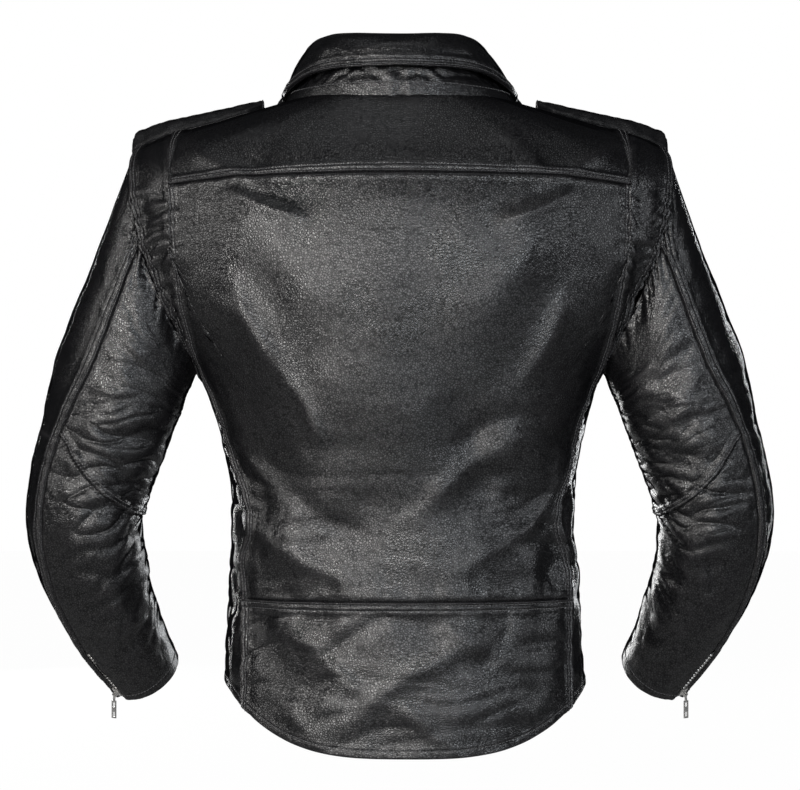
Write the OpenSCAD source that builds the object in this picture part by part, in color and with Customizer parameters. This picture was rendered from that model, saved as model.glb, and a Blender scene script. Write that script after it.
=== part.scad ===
// Leather riding jacket: a waist-length jacket with a fold-down collar, a yoke, action-back pleats,
// shoulder straps, an offset front zip with lapels, three zipped pockets and zipped cuffs.
// The origin is the centre of the hanger loop's eye inside the back of the neck. +Z is up, +Y is the
// wearer's back, and +X is the wearer's left. Sizes are in millimetres.

/* [Body] */
// Height of the lowest point of the back hem, below the hanger loop
hem_drop = 643; // [600:1:680]
// Half width of the body at the waist
waist_half = 178; // [165:1:195]
// Half depth of the chest
chest_half_depth = 124; // [115:1:132]
// How far the middle of the body lies in front of the hanger loop
body_forward = 62; // [58:1:70]

/* [Leather] */
// Thickness of one shell panel with its backing
panel_t = 2.4; // [1.6:0.1:2.8]
// Angle left free on each side of a sleeve seam so that neighbouring panels stay clear
seam_gap = 1.4; // [1:0.1:2]
// Thickness of the lining
lining_t = 1; // [0.6:0.1:1.4]

/* [Sleeves] */
// Half width of the sleeve across the elbow
elbow_half = 61; // [54:1:64]
// Half width of the cuff opening
cuff_half = 38; // [34:1:42]

/* [Hardware] */
// Width of a zip tape
tape_w = 18; // [14:1:20]
// Length of a zip pull
pull_len = 24; // [18:1:26]
// Inner radius of the hanger loop's eye
loop_r = 9; // [8:0.5:10]
// Diameter of a press stud's cap
snap_d = 14; // [12:0.5:15]

/* [Hidden] */

leather = [0.06, 0.06, 0.065];
cloth = [0.12, 0.12, 0.14];
steel = "silver";

// ---- curves -------------------------------------------------------------------------------------

// Slope of a knot list at knot i
function knot_slope(k, i) =
    let (a = max(i - 1, 0), b = min(i + 1, len(k) - 1))
    (k[b][1] - k[a][1]) / (k[b][0] - k[a][0]);

// Smooth curve through the knots [parameter, value], read at t
function curve(k, t, i = 0) =
    t <= k[0][0] ? k[0][1] :
    t >= k[len(k) - 1][0] ? k[len(k) - 1][1] :
    t > k[i + 1][0] ? curve(k, t, i + 1) :
    let (h = k[i + 1][0] - k[i][0], u = (t - k[i][0]) / h)
    (2 * u^3 - 3 * u^2 + 1) * k[i][1] + (u^3 - 2 * u^2 + u) * h * knot_slope(k, i)
    + (3 * u^2 - 2 * u^3) * k[i + 1][1] + (u^3 - u^2) * h * knot_slope(k, i + 1);

function lerp(a, b, u) = a + (b - a) * u;
function unit(v) = v / norm(v);
function flat_end(x, power) = x == 0 ? 0 : sign(x) * pow(abs(x), power);

// ---- body sheet: phi runs round the body from the back (0) to the left (90), t from hem to neck --

corner = 2.35;      // exponent of the body's rounded-box section
hem_rise = 2.8;     // how late a level line rises towards the side
body_y = -body_forward;

side_x = [[0, waist_half + 6], [0.15, waist_half + 1], [0.3, waist_half], [0.5, 207], [0.6, 252],
          [0.7, 284], [0.8, 288], [0.88, 262], [0.94, 184], [1, 104]];
side_z = [[0, -578], [0.15, -475], [0.3, -368], [0.5, -262], [0.6, -195],
          [0.7, -130], [0.8, -68], [0.88, -30], [0.94, -6], [1, 16]];
back_y = [[0, 110], [0.15, 100], [0.3, 96], [0.5, 120], [0.6, 127],
          [0.7, 127], [0.8, 119], [0.88, 105], [0.94, 88], [1, 70]];
back_z = [[0, -hem_drop], [0.15, -505], [0.3, -372], [0.5, -262], [0.6, -200],
          [0.7, -140], [0.8, -80], [0.88, -38], [0.94, -6], [1, 22]];
front_y = [[0, 118], [0.15, 118], [0.3, 119], [0.5, chest_half_depth + 2], [0.6, chest_half_depth + 2],
           [0.7, 121], [0.8, 113], [0.88, 104], [0.94, 94], [1, 82]];
front_z = [[0, -596], [0.15, -480], [0.3, -368], [0.5, -262], [0.6, -205],
           [0.7, -155], [0.8, -115], [0.88, -90], [0.94, -73], [1, -58]];

function body(phi, t) =
    let (s = sin(phi), c = cos(phi), w = pow(abs(s), hem_rise), back = c >= 0)
    [curve(side_x, t) * flat_end(s, 2 / corner),
     body_y + curve(back ? back_y : front_y, t) * flat_end(c, 2 / corner),
     curve(side_z, t) * w + curve(back ? back_z : front_z, t) * (1 - w)];

// Angle phi at which the body is x wide at level t, measured from the back
function phi_at_x(x, t) = asin(pow(min(abs(x) / curve(side_x, t), 1), corner / 2));

// Level t at which the body at phi is z high, by halving
function level_at_z(phi, z, lo = 0, hi = 1, n = 12) =
    let (m = (lo + hi) / 2)
    n == 0 ? m : body(phi, m)[2] < z ? level_at_z(phi, z, m, hi, n - 1) : level_at_z(phi, z, lo, m, n - 1);

// Level t above the shoulder point at which the body is half_w wide, by halving
function level_at_width(half_w, lo = 0.8, hi = 1, n = 12) =
    let (m = (lo + hi) / 2)
    n == 0 ? m : curve(side_x, m) > half_w ? level_at_width(half_w, m, hi, n - 1)
                                           : level_at_width(half_w, lo, m, n - 1);

// ---- seam lines, as [phi, t] -----------------------------------------------------------------------

shoulder_phi = 98;      // the shoulder seam
yoke_half = 230;        // the yoke's side edges
yoke_seam_z = -66;
yoke_seam_dip = 11;     // how much lower the yoke seam is at its ends
lower_seam_z = -489;
break_t = 0.36;         // where the lapels leave the front zip
neck_phi = 118;         // where the roll line meets the neck seam

edge_x = [[0, 165], [0.15, 165], [0.2, 163], [0.235, 155], [0.28, 160], [0.33, 171],
          [0.42, 183], [0.5, 201], [0.56, 214], [0.62, 223], [0.7, 229], [0.8, yoke_half]];

// The armhole, by angle psi: 0 at the shoulder, 90 at the back, 180 under the arm
function armhole(psi) = [90 - 25 * sin(psi), 0.69 + 0.19 * cos(psi)];
// The seam between the back and the side panel, then the back panel's pleat edge
function back_edge(t) = [phi_at_x(curve(edge_x, t), t), t];
yoke_corner_phi = back_edge(0.8)[0];
// The yoke's side edge over the shoulder
function yoke_edge(phi) = [phi, level_at_width(yoke_half / pow(abs(sin(phi)), 2 / corner))];
function yoke_seam(phi) =
    [phi, level_at_z(phi, yoke_seam_z - yoke_seam_dip * pow(abs(phi) / yoke_corner_phi, 2))];
function lower_seam(phi) = [phi, level_at_z(phi, lower_seam_z)];
side_low = back_edge(0.525);
side_high_psi = 150;
front_seam_psi = 215;
// The seam between the side and the front panel
function front_seam(t) =
    let (top = armhole(front_seam_psi))
    [lerp(125, top[0], t / top[1]), t];
// Angle phi on the front half at which the body is x to the left, at level t
function front_phi(x, t) = 180 - (x < 0 ? -1 : 1) * phi_at_x(x, t);
// The front zip leans away from the middle as it rises
zip_low_x = -10;
zip_high_x = -48;
zip_half = 8.4;         // half width left free for the zip between the front panels
function zip_x(t) = lerp(zip_low_x, zip_high_x, t / break_t);
function zip_line(t) = [front_phi(zip_x(t), t), t];
// Each front panel's free edge, by its distance to its own side: beside the zip, then along the roll line
function edge_phi(t, side) =
    let (low = side * zip_x(min(t, break_t)) + zip_half, high = body(neck_phi, 1)[0],
         u = max(0, t - break_t) / (1 - break_t))
    front_phi(lerp(low, high, pow(u, 1.1)), t);

// ---- panels ----------------------------------------------------------------------------------------

// A point of the patch between four border curves, in the plane of a sheet's two parameters
function coons(bottom, top, left, right, u, v) =
    lerp(bottom(u), top(u), v) + lerp(left(v), right(v), u)
    - lerp(lerp(bottom(0), bottom(1), u), lerp(top(0), top(1), u), v);

// A sheet's point moved outwards by off, along its normal
function lifted(sheet, p, off) =
    let (e = 0.004, at = sheet(p[0], p[1]),
         du = sheet(p[0] + 0.5, p[1]) - sheet(p[0] - 0.5, p[1]),
         dv = sheet(p[0], p[1] + e) - sheet(p[0], p[1] - e))
    at - unit(cross(du, dv)) * off;

// A closed curved slab over the patch where(u, v), nu by nv cells, from depth inner to outer
module slab(sheet, where, nu, nv, outer, inner, gap_u = 0.01, gap_v = 0.01) {
    spots = [for (j = [0 : nv], i = [0 : nu])
        where(lerp(gap_u, 1 - gap_u, i / nu), lerp(gap_v, 1 - gap_v, j / nv))];
    n = len(spots);
    w = nu + 1;
    rim = concat([for (i = [0 : nu - 1]) [i, i + 1]],
                 [for (j = [0 : nv - 1]) [j * w + nu, (j + 1) * w + nu]],
                 [for (i = [nu : -1 : 1]) [nv * w + i, nv * w + i - 1]],
                 [for (j = [nv : -1 : 1]) [j * w, (j - 1) * w]]);
    polyhedron(
        points = concat([for (p = spots) lifted(sheet, p, outer)],
                        [for (p = spots) lifted(sheet, p, inner)]),
        faces = concat(
            [for (j = [0 : nv - 1], i = [0 : nu - 1]) [j * w + i, j * w + i + 1, (j + 1) * w + i + 1]],
            [for (j = [0 : nv - 1], i = [0 : nu - 1]) [j * w + i, (j + 1) * w + i + 1, (j + 1) * w + i]],
             [for (j = [0 : nv - 1], i = [0 : nu - 1])
                 [n + j * w + i, n + (j + 1) * w + i + 1, n + j * w + i + 1]],
             [for (j = [0 : nv - 1], i = [0 : nu - 1])
                 [n + j * w + i, n + (j + 1) * w + i, n + (j + 1) * w + i + 1]],
            [for (e = rim) [e[0], n + e[0], n + e[1]]],
            [for (e = rim) [e[0], n + e[1], e[1]]]));
}

body_at = function(phi, t) body(phi, t);

module body_slab(where, nu, nv, gap_u = 0.01, gap_v = 0.01, outer = 0, inner = -panel_t) {
    slab(body_at, where, nu, nv, outer, inner, gap_u, gap_v);
}

module mirrored() { mirror([1, 0, 0]) children(); }

module back_yoke() {
    low = function(u)
        let (phi = lerp(-shoulder_phi, shoulder_phi, u))
        abs(phi) < yoke_corner_phi ? yoke_seam(phi) : yoke_edge(phi);
    color(leather) body_slab(function(u, v)
        let (b = low(u)) [b[0], lerp(b[1], 1, v)], 26, 5, 0.004, 0.02);
}

module back_panel() {
    where = function(u, v)
        let (mid = lerp(0.16, 0.8, v), phi0 = lerp(-back_edge(mid)[0], back_edge(mid)[0], u),
             t = lerp(lower_seam(phi0)[1], yoke_seam(phi0)[1], v))
        [lerp(-back_edge(t)[0], back_edge(t)[0], u), t];
    color(leather) body_slab(where, 12, 16, 0.004, 0.004);
}

module lower_back_panel() {
    where = function(u, v)
        let (e = back_edge(0.08)[0], phi = lerp(-e, e, u), t = lerp(0, lower_seam(phi)[1], v))
        [lerp(-back_edge(t)[0], back_edge(t)[0], u), t];
    color(leather) body_slab(where, 12, 4, 0.004, 0.01);
}

// The pleat that lets the back spread when the arms reach forward
pleat_turn = 0.6;       // share of the pleat's length that lies below the yoke seam
module back_pleat() {
    inner = function(v)
        v < pleat_turn ? back_edge(lerp(side_low[1], 0.8, v / pleat_turn))
                       : yoke_edge(lerp(yoke_corner_phi, shoulder_phi, (v - pleat_turn) / (1 - pleat_turn)));
    outer = function(v) armhole(lerp(side_high_psi, -15, v));
    color(leather) body_slab(function(u, v) lerp(inner(v), outer(v), u), 3, 14, 0.06, 0.01);
}

module side_panel() {
    top = function(u)
        u < 0.2 ? lerp(side_low, armhole(side_high_psi), u / 0.2)
                : armhole(lerp(side_high_psi, front_seam_psi, (u - 0.2) / 0.8));
    bottom = function(u) lerp(back_edge(0), front_seam(0), u);
    left = function(v) back_edge(side_low[1] * v);
    right = function(v) front_seam(armhole(front_seam_psi)[1] * v);
    color(leather) body_slab(function(u, v) coons(bottom, top, left, right, u, v), 6, 12, 0.014, 0.006);
}

// The front panel, whose edge follows the zip and then the roll line
seam_share = 0.5;       // share of the panel's height below the armhole
function front_outline(side) =
    let (start = armhole(front_seam_psi))
    [function(u) lerp(front_seam(0), [edge_phi(0, side), 0], u),
     function(u) u < 0.75 ? lerp(armhole(345), [shoulder_phi, 1], u / 0.75)
                          : lerp([shoulder_phi, 1], [neck_phi, 1], (u - 0.75) / 0.25),
     function(v) v < seam_share ? front_seam(start[1] * v / seam_share)
                                : armhole(lerp(front_seam_psi, 345, (v - seam_share) / (1 - seam_share))),
     function(v) [edge_phi(v, side), v]];

module front_slab(side, nu, nv, gap, outer, inner) {
    o = front_outline(side);
    body_slab(function(u, v) coons(o[0], o[1], o[2], o[3], u, v), nu, nv, gap, gap, outer, inner);
}

module front_panel(side) {
    color(leather) difference() {
        front_slab(side, 8, 18, 0.01, 0, -panel_t);
        pocket_slot(hand_pocket);
        if (side > 0) pocket_slot(chest_pocket);
    }
}

lining_out = -panel_t - 8.4;     // the lining hangs clear of the pocket bags
module front_lining(side) { color(cloth) front_slab(side, 5, 12, 0.035, lining_out, lining_out - lining_t); }

module back_lining() {
    edge = function(t)
        t < 0.5 ? lerp(104, 66, t / 0.5) : t < 0.86 ? 62 : lerp(62, 92, (t - 0.86) / 0.14);
    color(cloth) body_slab(function(u, v)
        let (t = lerp(0.03, 0.95, v)) [lerp(-edge(t), edge(t), u), t],
        12, 14, 0.01, 0.01, lining_out, lining_out - lining_t);
}

// ---- collar ------------------------------------------------------------------------------------------

collar_h = 53;          // height of the fold above the neck seam at the back
stand_lean = 18;        // how far the stand leans in
collar_phi = 118;       // where the collar ends at the front
leaf_bulge = 7;         // how far the leaf stands out from its straight line
leaf_spread = 0.14;     // how much further forward the leaf's edge reaches than its fold, at its ends
// Where the leaf's edge lands, by phi: above 0 a share of the stand's height, below 0 a level down the body
leaf_land = [[0, 0.4], [55, 0.3], [76, 0.12], [90, 0.02], [104, -0.02], [118, -0.05]];
leaf_clear = 5;
leaf_back_clear = 9;    // how much further the leaf's edge stands out at the back of the neck

// The stand: phi round the neck, h from the neck seam (0) to the fold (1)
function stand_rise(phi) = collar_h * (1 - 0.1 * pow(sin(phi), 2) - 1.5 * max(0, -cos(phi)));
function stand_at(phi, h) =
    let (p = body(phi, 0.992), lean = stand_lean * sin(90 * h))
    [p[0] - lean * sin(phi), body_y + (p[1] - body_y) * (1 - 0.06 * h) + 2,
     p[2] + 4 + (stand_rise(phi) - 4) * h];
function leaf_edge(phi) =
    let (g = curve(leaf_land, abs(phi)), front = max(0, abs(phi) - 90) / (collar_phi - 90),
         back = max(0, 1 - abs(phi) / 80))
    g > 0 ? stand_at(phi, g) + [sin(phi), cos(phi), 0] * (leaf_clear + leaf_back_clear * back)
          : lifted(body_at, [phi * (1 + leaf_spread * front), 0.99 + g], leaf_clear);
// The leaf: h from its free edge (0) to the fold (1)
function leaf_at(phi, h) =
    let (fold = stand_at(phi, 1) + [sin(phi), cos(phi), 0] * 1.5 + [0, 0, 2])
    lerp(leaf_edge(phi), fold, h)
    + [sin(phi), cos(phi), 0.3] * leaf_bulge * (1 - 0.7 * pow(sin(phi), 2)) * sin(180 * h);

module collar_stand() {
    color(leather) slab(function(phi, h) stand_at(phi, h),
        function(u, v) [lerp(-collar_phi, collar_phi, u), v], 24, 3, 0, -panel_t, 0.002, 0.03);
}
module collar_leaf() {
    color(leather) slab(function(phi, h) leaf_at(phi, h),
        function(u, v) [lerp(-collar_phi, collar_phi, u), v], 28, 4, panel_t, 0, 0.002, 0.01);
}

// The facing inside the back of the neck, which holds the loop
module neck_facing() {
    color(leather) body_slab(function(u, v) [lerp(-50, 50, u), lerp(0.955, 0.985, v)],
        8, 2, 0.01, 0.01, -panel_t - 1, -panel_t - 2.6);
}

loop_w = 4;             // thickness of the loop's cord
loop_tail = 12;         // length of the cord's tails above the eye
module hanger_loop() {
    color(leather) difference() {
        union() {
            rotate([90, 0, 0]) cylinder(r = loop_r + loop_w, h = loop_w, center = true, $fn = 64);
            translate([-loop_w, -loop_w / 2, loop_r + loop_w - 1]) cube([2 * loop_w, loop_w, loop_tail]);
        }
        rotate([90, 0, 0]) cylinder(r = loop_r, h = loop_w + 2, center = true, $fn = 64);
    }
}

// ---- lapels -------------------------------------------------------------------------------------------

lapel_lift = 2.2;       // clearance between a lapel and the front panel
lapel_t = 2.4;
// Width of the lapel along the roll line, as an angle
lapel_width = [[0, 1], [0.3, 12], [0.6, 21], [0.85, 27], [1, 20]];
lapel_top = 0.9;        // level of the lapel's notch
module lapel(side) {
    color(leather) body_slab(function(u, v)
        let (t = lerp(break_t + 0.02, lapel_top, v) - 0.03 * u * v)
        [edge_phi(t, side) - 1 - (1 - u) * curve(lapel_width, v), t],
        5, 12, 0, 0, lapel_lift + lapel_t, lapel_lift);
}

// ---- press studs ----------------------------------------------------------------------------------------

// Moves its children to a sheet's point, with Z along the outward normal and X along the second parameter
module on_sheet(sheet, p, off = 0) {
    at = lifted(sheet, p, off);
    n = unit(lifted(sheet, p, off + 1) - at);
    d = sheet(p[0], p[1] + 0.01) - sheet(p[0], p[1] - 0.01);
    x = unit(d - n * (d * n));
    y = cross(n, x);
    multmatrix([[x[0], y[0], n[0], at[0]], [x[1], y[1], n[1], at[1]], [x[2], y[2], n[2], at[2]], [0, 0, 0, 1]])
        children();
}

module snap_cap() {
    color(steel) rotate_extrude($fn = 48)
        polygon([[0, 0], [snap_d / 2, 0], [snap_d / 2, 0.8], [snap_d / 2 - 1.2, 1.8], [0, 2.4]]);
}
module stud() { color(steel) cylinder(d = 8, h = 1.2, $fn = 40); }

lapel_snap_v = 0.8;
function lapel_snap_spot(side) =
    let (t = lerp(break_t + 0.02, lapel_top, lapel_snap_v) - 0.03 * 0.2 * lapel_snap_v)
    [edge_phi(t, side) - 1 - 0.74 * curve(lapel_width, lapel_snap_v), t];
module lapel_snap(side) {
    on_sheet(body_at, lapel_snap_spot(side), lapel_lift + lapel_t + 0.3) snap_cap();
}
module collar_snap() {
    on_sheet(function(phi, h) leaf_at(phi, h), [collar_phi - 7, 0.2], panel_t + 0.4) snap_cap();
}

module collar_and_lapel_snaps() {
    collar_snap();
    mirrored() collar_snap();
    lapel_snap(1);
    mirrored() lapel_snap(-1);
}

// ---- shoulder straps -----------------------------------------------------------------------------------

strap_x0 = 140;         // the strap's point
strap_x1 = 259;         // the strap's sewn end
strap_half = 23;        // half width of the strap at its sewn end
strap_lift = 8;         // height of the strap over the shoulder
strap_t = 3;
strap_phi = 92;
// The strap's middle line over the shoulder, by u from the sewn end (0) to the point (1)
function strap_spine(u) =
    let (x = lerp(strap_x1, strap_x0, u), t = level_at_width(x / pow(sin(strap_phi), 2 / corner)))
    [x, body(strap_phi, t)[2] + strap_lift * (1 - 0.55 * pow(u, 2))];
function strap_at(u, w) =
    let (s = strap_spine(u),
         half = u < 0.86 ? strap_half - 4 * u : (strap_half - 3.4) * (1 - (u - 0.86) / 0.15))
    [s[0], body_y - 4 + w * half, s[1] - 3 * w * w];
module epaulette() {
    color(leather) slab(function(u, w) strap_at(u, w),
        function(u, v) [lerp(0, 1, u), lerp(-1, 1, v)], 10, 4, strap_t, 0, 0, 0);
}
module epaulette_snap() {
    s = strap_spine(0.8);
    translate([s[0], body_y - 4, s[1] + strap_t + 0.5]) rotate([0, 13, 0]) snap_cap();
}
module epaulette_stud() {
    x = strap_spine(0.8)[0];
    t = level_at_width(x / pow(sin(strap_phi), 2 / corner));
    on_sheet(body_at, [strap_phi, t], 0.4) stud();
}

module strap_studs() {
    epaulette_stud();
    mirrored() epaulette_stud();
}

// ---- sleeves: psi runs round the arm from the outside (0) to the back (90), s from armhole to cuff ------

arm_x = [[0, 246], [0.12, 262], [0.28, 283], [0.42, 302], [0.55, 318], [0.64, 322], [0.75, 313],
    [0.87, 295], [1, 269]];
arm_z = [[0, -140], [0.12, -195], [0.28, -262], [0.42, -322], [0.55, -378], [0.64, -421], [0.75, -473],
         [0.87, -524], [1, -577]];
arm_y = [[0, 0], [0.28, 2], [0.42, 0], [0.55, -4], [0.64, -9], [0.75, -24], [0.87, -50], [1, -86]];
arm_half =
    [[0, 70], [0.2, 70], [0.35, 68], [0.5, elbow_half + 2], [0.64, elbow_half - 1], [0.8, 52], [1, cuff_half]];
arm_depth = [[0, 64], [0.2, 66], [0.35, 66], [0.5, 63], [0.64, 62], [0.8, 55], [1, cuff_half + 6]];
head_end = 0.3;         // where the sleeve head has become a round tube
under_shift = 0.25;     // how much further down the arm the sleeve starts on its inside
shift_end = 0.5;

function arm_at(s) = [curve(arm_x, s), body_y + curve(arm_y, s), curve(arm_z, s)];
function arm_along(s) = unit(arm_at(min(s + 0.01, 1)) - arm_at(max(s - 0.01, 0)));
function arm_back(s) = let (a = arm_along(s)) unit([0, 1, 0] - a * a[1]);
function arm_out(s) = cross(arm_back(s), -arm_along(s));
function sleeve(psi, s) =
    let (r = s + under_shift * (1 - cos(psi)) / 2 * pow(max(0, 1 - s / shift_end), 2),
         tube = arm_at(r) + arm_out(r) * curve(arm_half, r) * cos(psi)
                + arm_back(r) * curve(arm_depth, r) * sin(psi),
         a = armhole(psi), k = min(s / head_end, 1))
    lerp(body(a[0], a[1]), tube, k * k * (3 - 2 * k));

sleeve_at = function(psi, s) sleeve(psi, s);
outer_seam = [[0, 92], [0.2, 75], [0.42, 57], [0.64, 48], [0.85, 38], [1, 36]];
inner_seam_psi = 238;
fore_end = 0.995;
zip_start = 0.87;       // where the cuff zip begins

// The shoulder: the sleeve head stays with the body, and a wedge is left free above the pivot for the swing
head_stop = 0.05;
function sleeve_start(psi) = 0.102 + 0.028 * cos(psi);
// The elbow: each half is cut back towards the front, where the arm folds
function upper_end(psi) = 0.59 + 0.04 * sin(psi);
function fore_start(psi) = 0.705 - 0.035 * sin(psi);
// The seam's angle, moved by a gap that widens beside the cuff zip
function seam_psi(s, side) = curve(outer_seam, s) + side * (s > zip_start - 0.03 ? 16 : seam_gap);

module sleeve_slab(from_top, lo, hi, nu, nv, outer = 0, inner = -panel_t) {
    slab(sleeve_at, function(u, v)
        let (psi0 = from_top ? lerp(inner_seam_psi - 360, 50, u) : lerp(50, inner_seam_psi, u),
             s = lerp(lo(psi0), hi(psi0), v))
        [from_top ? lerp(inner_seam_psi - 360 + seam_gap, seam_psi(s, -1), u)
                  : lerp(seam_psi(s, 1), inner_seam_psi - seam_gap, u), s],
        nu, nv, outer, inner, 0, 0);
}
at_start = function(psi) sleeve_start(psi);

at_end = function(psi) fore_end;
at_upper_end = function(psi) upper_end(psi);
at_fore_start = function(psi) fore_start(psi);

module upper_sleeve_top() { color(leather) sleeve_slab(true, at_start, at_upper_end, 8, 8); }
module upper_sleeve_under() { color(leather) sleeve_slab(false, at_start, at_upper_end, 8, 8); }
module forearm_top() { color(leather) sleeve_slab(true, at_fore_start, at_end, 8, 9); }
module forearm_under() { color(leather) sleeve_slab(false, at_fore_start, at_end, 8, 9); }

module lining_tube(lo, hi, nv) {
    color(cloth) slab(sleeve_at, function(u, v)
        let (psi = lerp(40, 397, u)) [psi, lerp(lo(psi), hi(psi), v)],
        16, nv, -panel_t - 4, -panel_t - 4 - lining_t, 0, 0.02);
}
module sleeve_head() {
    color(leather) slab(sleeve_at, function(u, v)
        let (psi = lerp(50, 409, u)) [psi, lerp(0.022, head_stop, v)], 24, 2, 0, -panel_t, 0, 0);
}
module upper_sleeve_lining() { lining_tube(at_start, at_upper_end, 6); }
module forearm_lining() { lining_tube(at_fore_start, function(psi) 0.98, 6); }

// ---- zips: X runs along the zip towards its closed end, Z outwards ---------------------------------------

tooth_pitch = 4;
row_gap = 1.4;          // between the two rows, where the slider's wedge runs
row_w = 2.6;
tooth_t = 1.2;
tape_t = 0.6;
wedge_t = 0.8;
slider_len = 10;
slider_w = 9;
plate_t = 1.1;
plate_z = 1.6;          // inner face of each slider plate
pin_r = 0.8;
pin_z = 6.5;
eye_r = 0.88;

// Moves its children to a zip's own frame, given its two ends and an outward direction
module along_zip(p0, p1, out, at = 0) {
    x = unit(p1 - p0);
    n = unit(out - x * (out * x));
    y = cross(n, x);
    o = p0 + x * at;
    multmatrix([[x[0], y[0], n[0], o[0]], [x[1], y[1], n[1], o[1]], [x[2], y[2], n[2], o[2]], [0, 0, 0, 1]])
        children();
}

module tape_pair(length) {
    color(cloth) for (side = [-1, 1])
        translate([0, side > 0 ? row_gap / 2 + row_w + 0.2 : -tape_w / 2, -tape_t / 2])
            cube([length, tape_w / 2 - row_gap / 2 - row_w - 0.2, tape_t]);
}
// Each row is a spine with its teeth reaching towards the middle
module teeth_pair(length) {
    count = floor((length - 3) / tooth_pitch);
    tip = row_gap / 2;
    root = row_gap / 2 + 1.6;
    comb = concat([[0, root]],
        [for (i = [0 : count - 1], q = [[0.8, root], [0.8, tip], [2.8, tip], [2.8, root]])
            [i * tooth_pitch + 0.6 + q[0], q[1]]],
        [[length, root], [length, tip + row_w], [0, tip + row_w]]);
    color(steel) {
        translate([0, 0, -tooth_t / 2]) linear_extrude(tooth_t) polygon(comb);
        mirror([0, 1, 0]) translate([0, 0, -tooth_t / 2]) linear_extrude(tooth_t) polygon(comb);
    }
}
module slider() {
    side_t = 0.7;
    color(steel) {
        for (side = [-1, 1])
            translate([-slider_len / 2, -slider_w / 2, side > 0 ? plate_z : -plate_z - plate_t])
                cube([slider_len, slider_w, plate_t]);
        for (side = [-1, 1], up = [-1, 1])
            translate([-slider_len / 2, side > 0 ? slider_w / 2 - side_t : -slider_w / 2, up > 0 ? 0.6 : -plate_z])
                cube([slider_len, side_t, plate_z - 0.6]);
        translate([slider_len / 2 - 4, -wedge_t / 2, -plate_z]) cube([4, wedge_t, 2 * plate_z]);
        for (side = [-1, 1])
            translate([-1.6, side > 0 ? 1.5 : -2.5, plate_z + plate_t - 0.1])
                cube([3.2, 1, pin_z - plate_z - plate_t + 0.9]);
        translate([0, 0, pin_z]) rotate([90, 0, 0]) cylinder(r = pin_r, h = 4, center = true, $fn = 32);
    }
}
// The pull turns on the slider's pin and points along -X, lifted off the zip by the angle lift,
// with its tab turned aside by the angle aside
pull_w = 6.4;
pull_t = 1.5;
module pull(aside = 0, lift = 0) {
    color(steel) translate([0, 0, pin_z]) rotate([0, lift, 0]) difference() {
        union() {
            rotate([90, 0, 0]) cylinder(r = 1.55, h = 2.4, center = true, $fn = 40);
            translate([-6, -1.2, -pull_t / 2]) cube([6, 2.4, pull_t]);
            translate([-5.6, 0, 0]) rotate([0, 0, aside])
                translate([-pull_len + 5.6, -pull_w / 2, -pull_t / 2]) cube([pull_len - 5.6, pull_w, pull_t]);
        }
        rotate([90, 0, 0]) cylinder(r = eye_r, h = 4, center = true, $fn = 40);
        translate([-5.6, 0, 0]) rotate([0, 0, aside]) {
            translate([-pull_len + 7.2, -pull_w / 2 + 1.5, -pull_t]) cube([5, pull_w - 3, 2 * pull_t]);
            translate([-6.6, -pull_w / 2 + 1.3, -pull_t]) cube([4.6, pull_w - 2.6, 2 * pull_t]);
        }
    }
}
// At rest the cuff pulls hang straight down
cuff_pull_aside = 7.5;
cuff_pull_lift = 46;

// Front zip
front_zip_t0 = 0.012;
front_zip_depth = -3.4;
function front_zip_end(t) = lifted(body_at, zip_line(t), front_zip_depth);
front_p0 = front_zip_end(front_zip_t0);
front_p1 = front_zip_end(break_t);
front_out = lifted(body_at, zip_line(0.2), 1) - lifted(body_at, zip_line(0.2), 0);
front_len = norm(front_p1 - front_p0);
module on_front_zip(at = 0) { along_zip(front_p0, front_p1, front_out, at) children(); }

// Cuff zip, on the outer sleeve seam
cuff_p0 = lifted(sleeve_at, [curve(outer_seam, zip_start), zip_start], -1.4);
cuff_p1 = lifted(sleeve_at, [curve(outer_seam, 0.99), 0.99], -1.4);
cuff_mid = [curve(outer_seam, 0.93), 0.93];
cuff_out = lifted(sleeve_at, cuff_mid, 1) - lifted(sleeve_at, cuff_mid, 0);
cuff_len = norm(cuff_p1 - cuff_p0);
module on_cuff_zip(at = 0) { along_zip(cuff_p0, cuff_p1, cuff_out, at) children(); }

// Pockets: each has its lower and upper end as [phi, t], measured on the wearer's left
hand_pocket = [[147, 0.13], [137, 0.30]];
chest_pocket = [[136, 0.49], [130, 0.62]];
pocket_depth = -4.4;    // depth of the pocket zips under the leather's face
slot_half = 6;          // half width of the slot in the front panel
function pocket_end(ends, i) = lifted(body_at, ends[i], pocket_depth);
module on_pocket(ends, at = 0) {
    p0 = pocket_end(ends, 0);
    p1 = pocket_end(ends, 1);
    mid = (ends[0] + ends[1]) / 2;
    along_zip(p0, p1, lifted(body_at, mid, 1) - lifted(body_at, mid, 0), at) children();
}
function pocket_len(ends) = norm(pocket_end(ends, 1) - pocket_end(ends, 0));
module pocket_slot(ends) {
    on_pocket(ends) translate([-1, -slot_half, -2]) cube([pocket_len(ends) + 2, 2 * slot_half, 12]);
}

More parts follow.
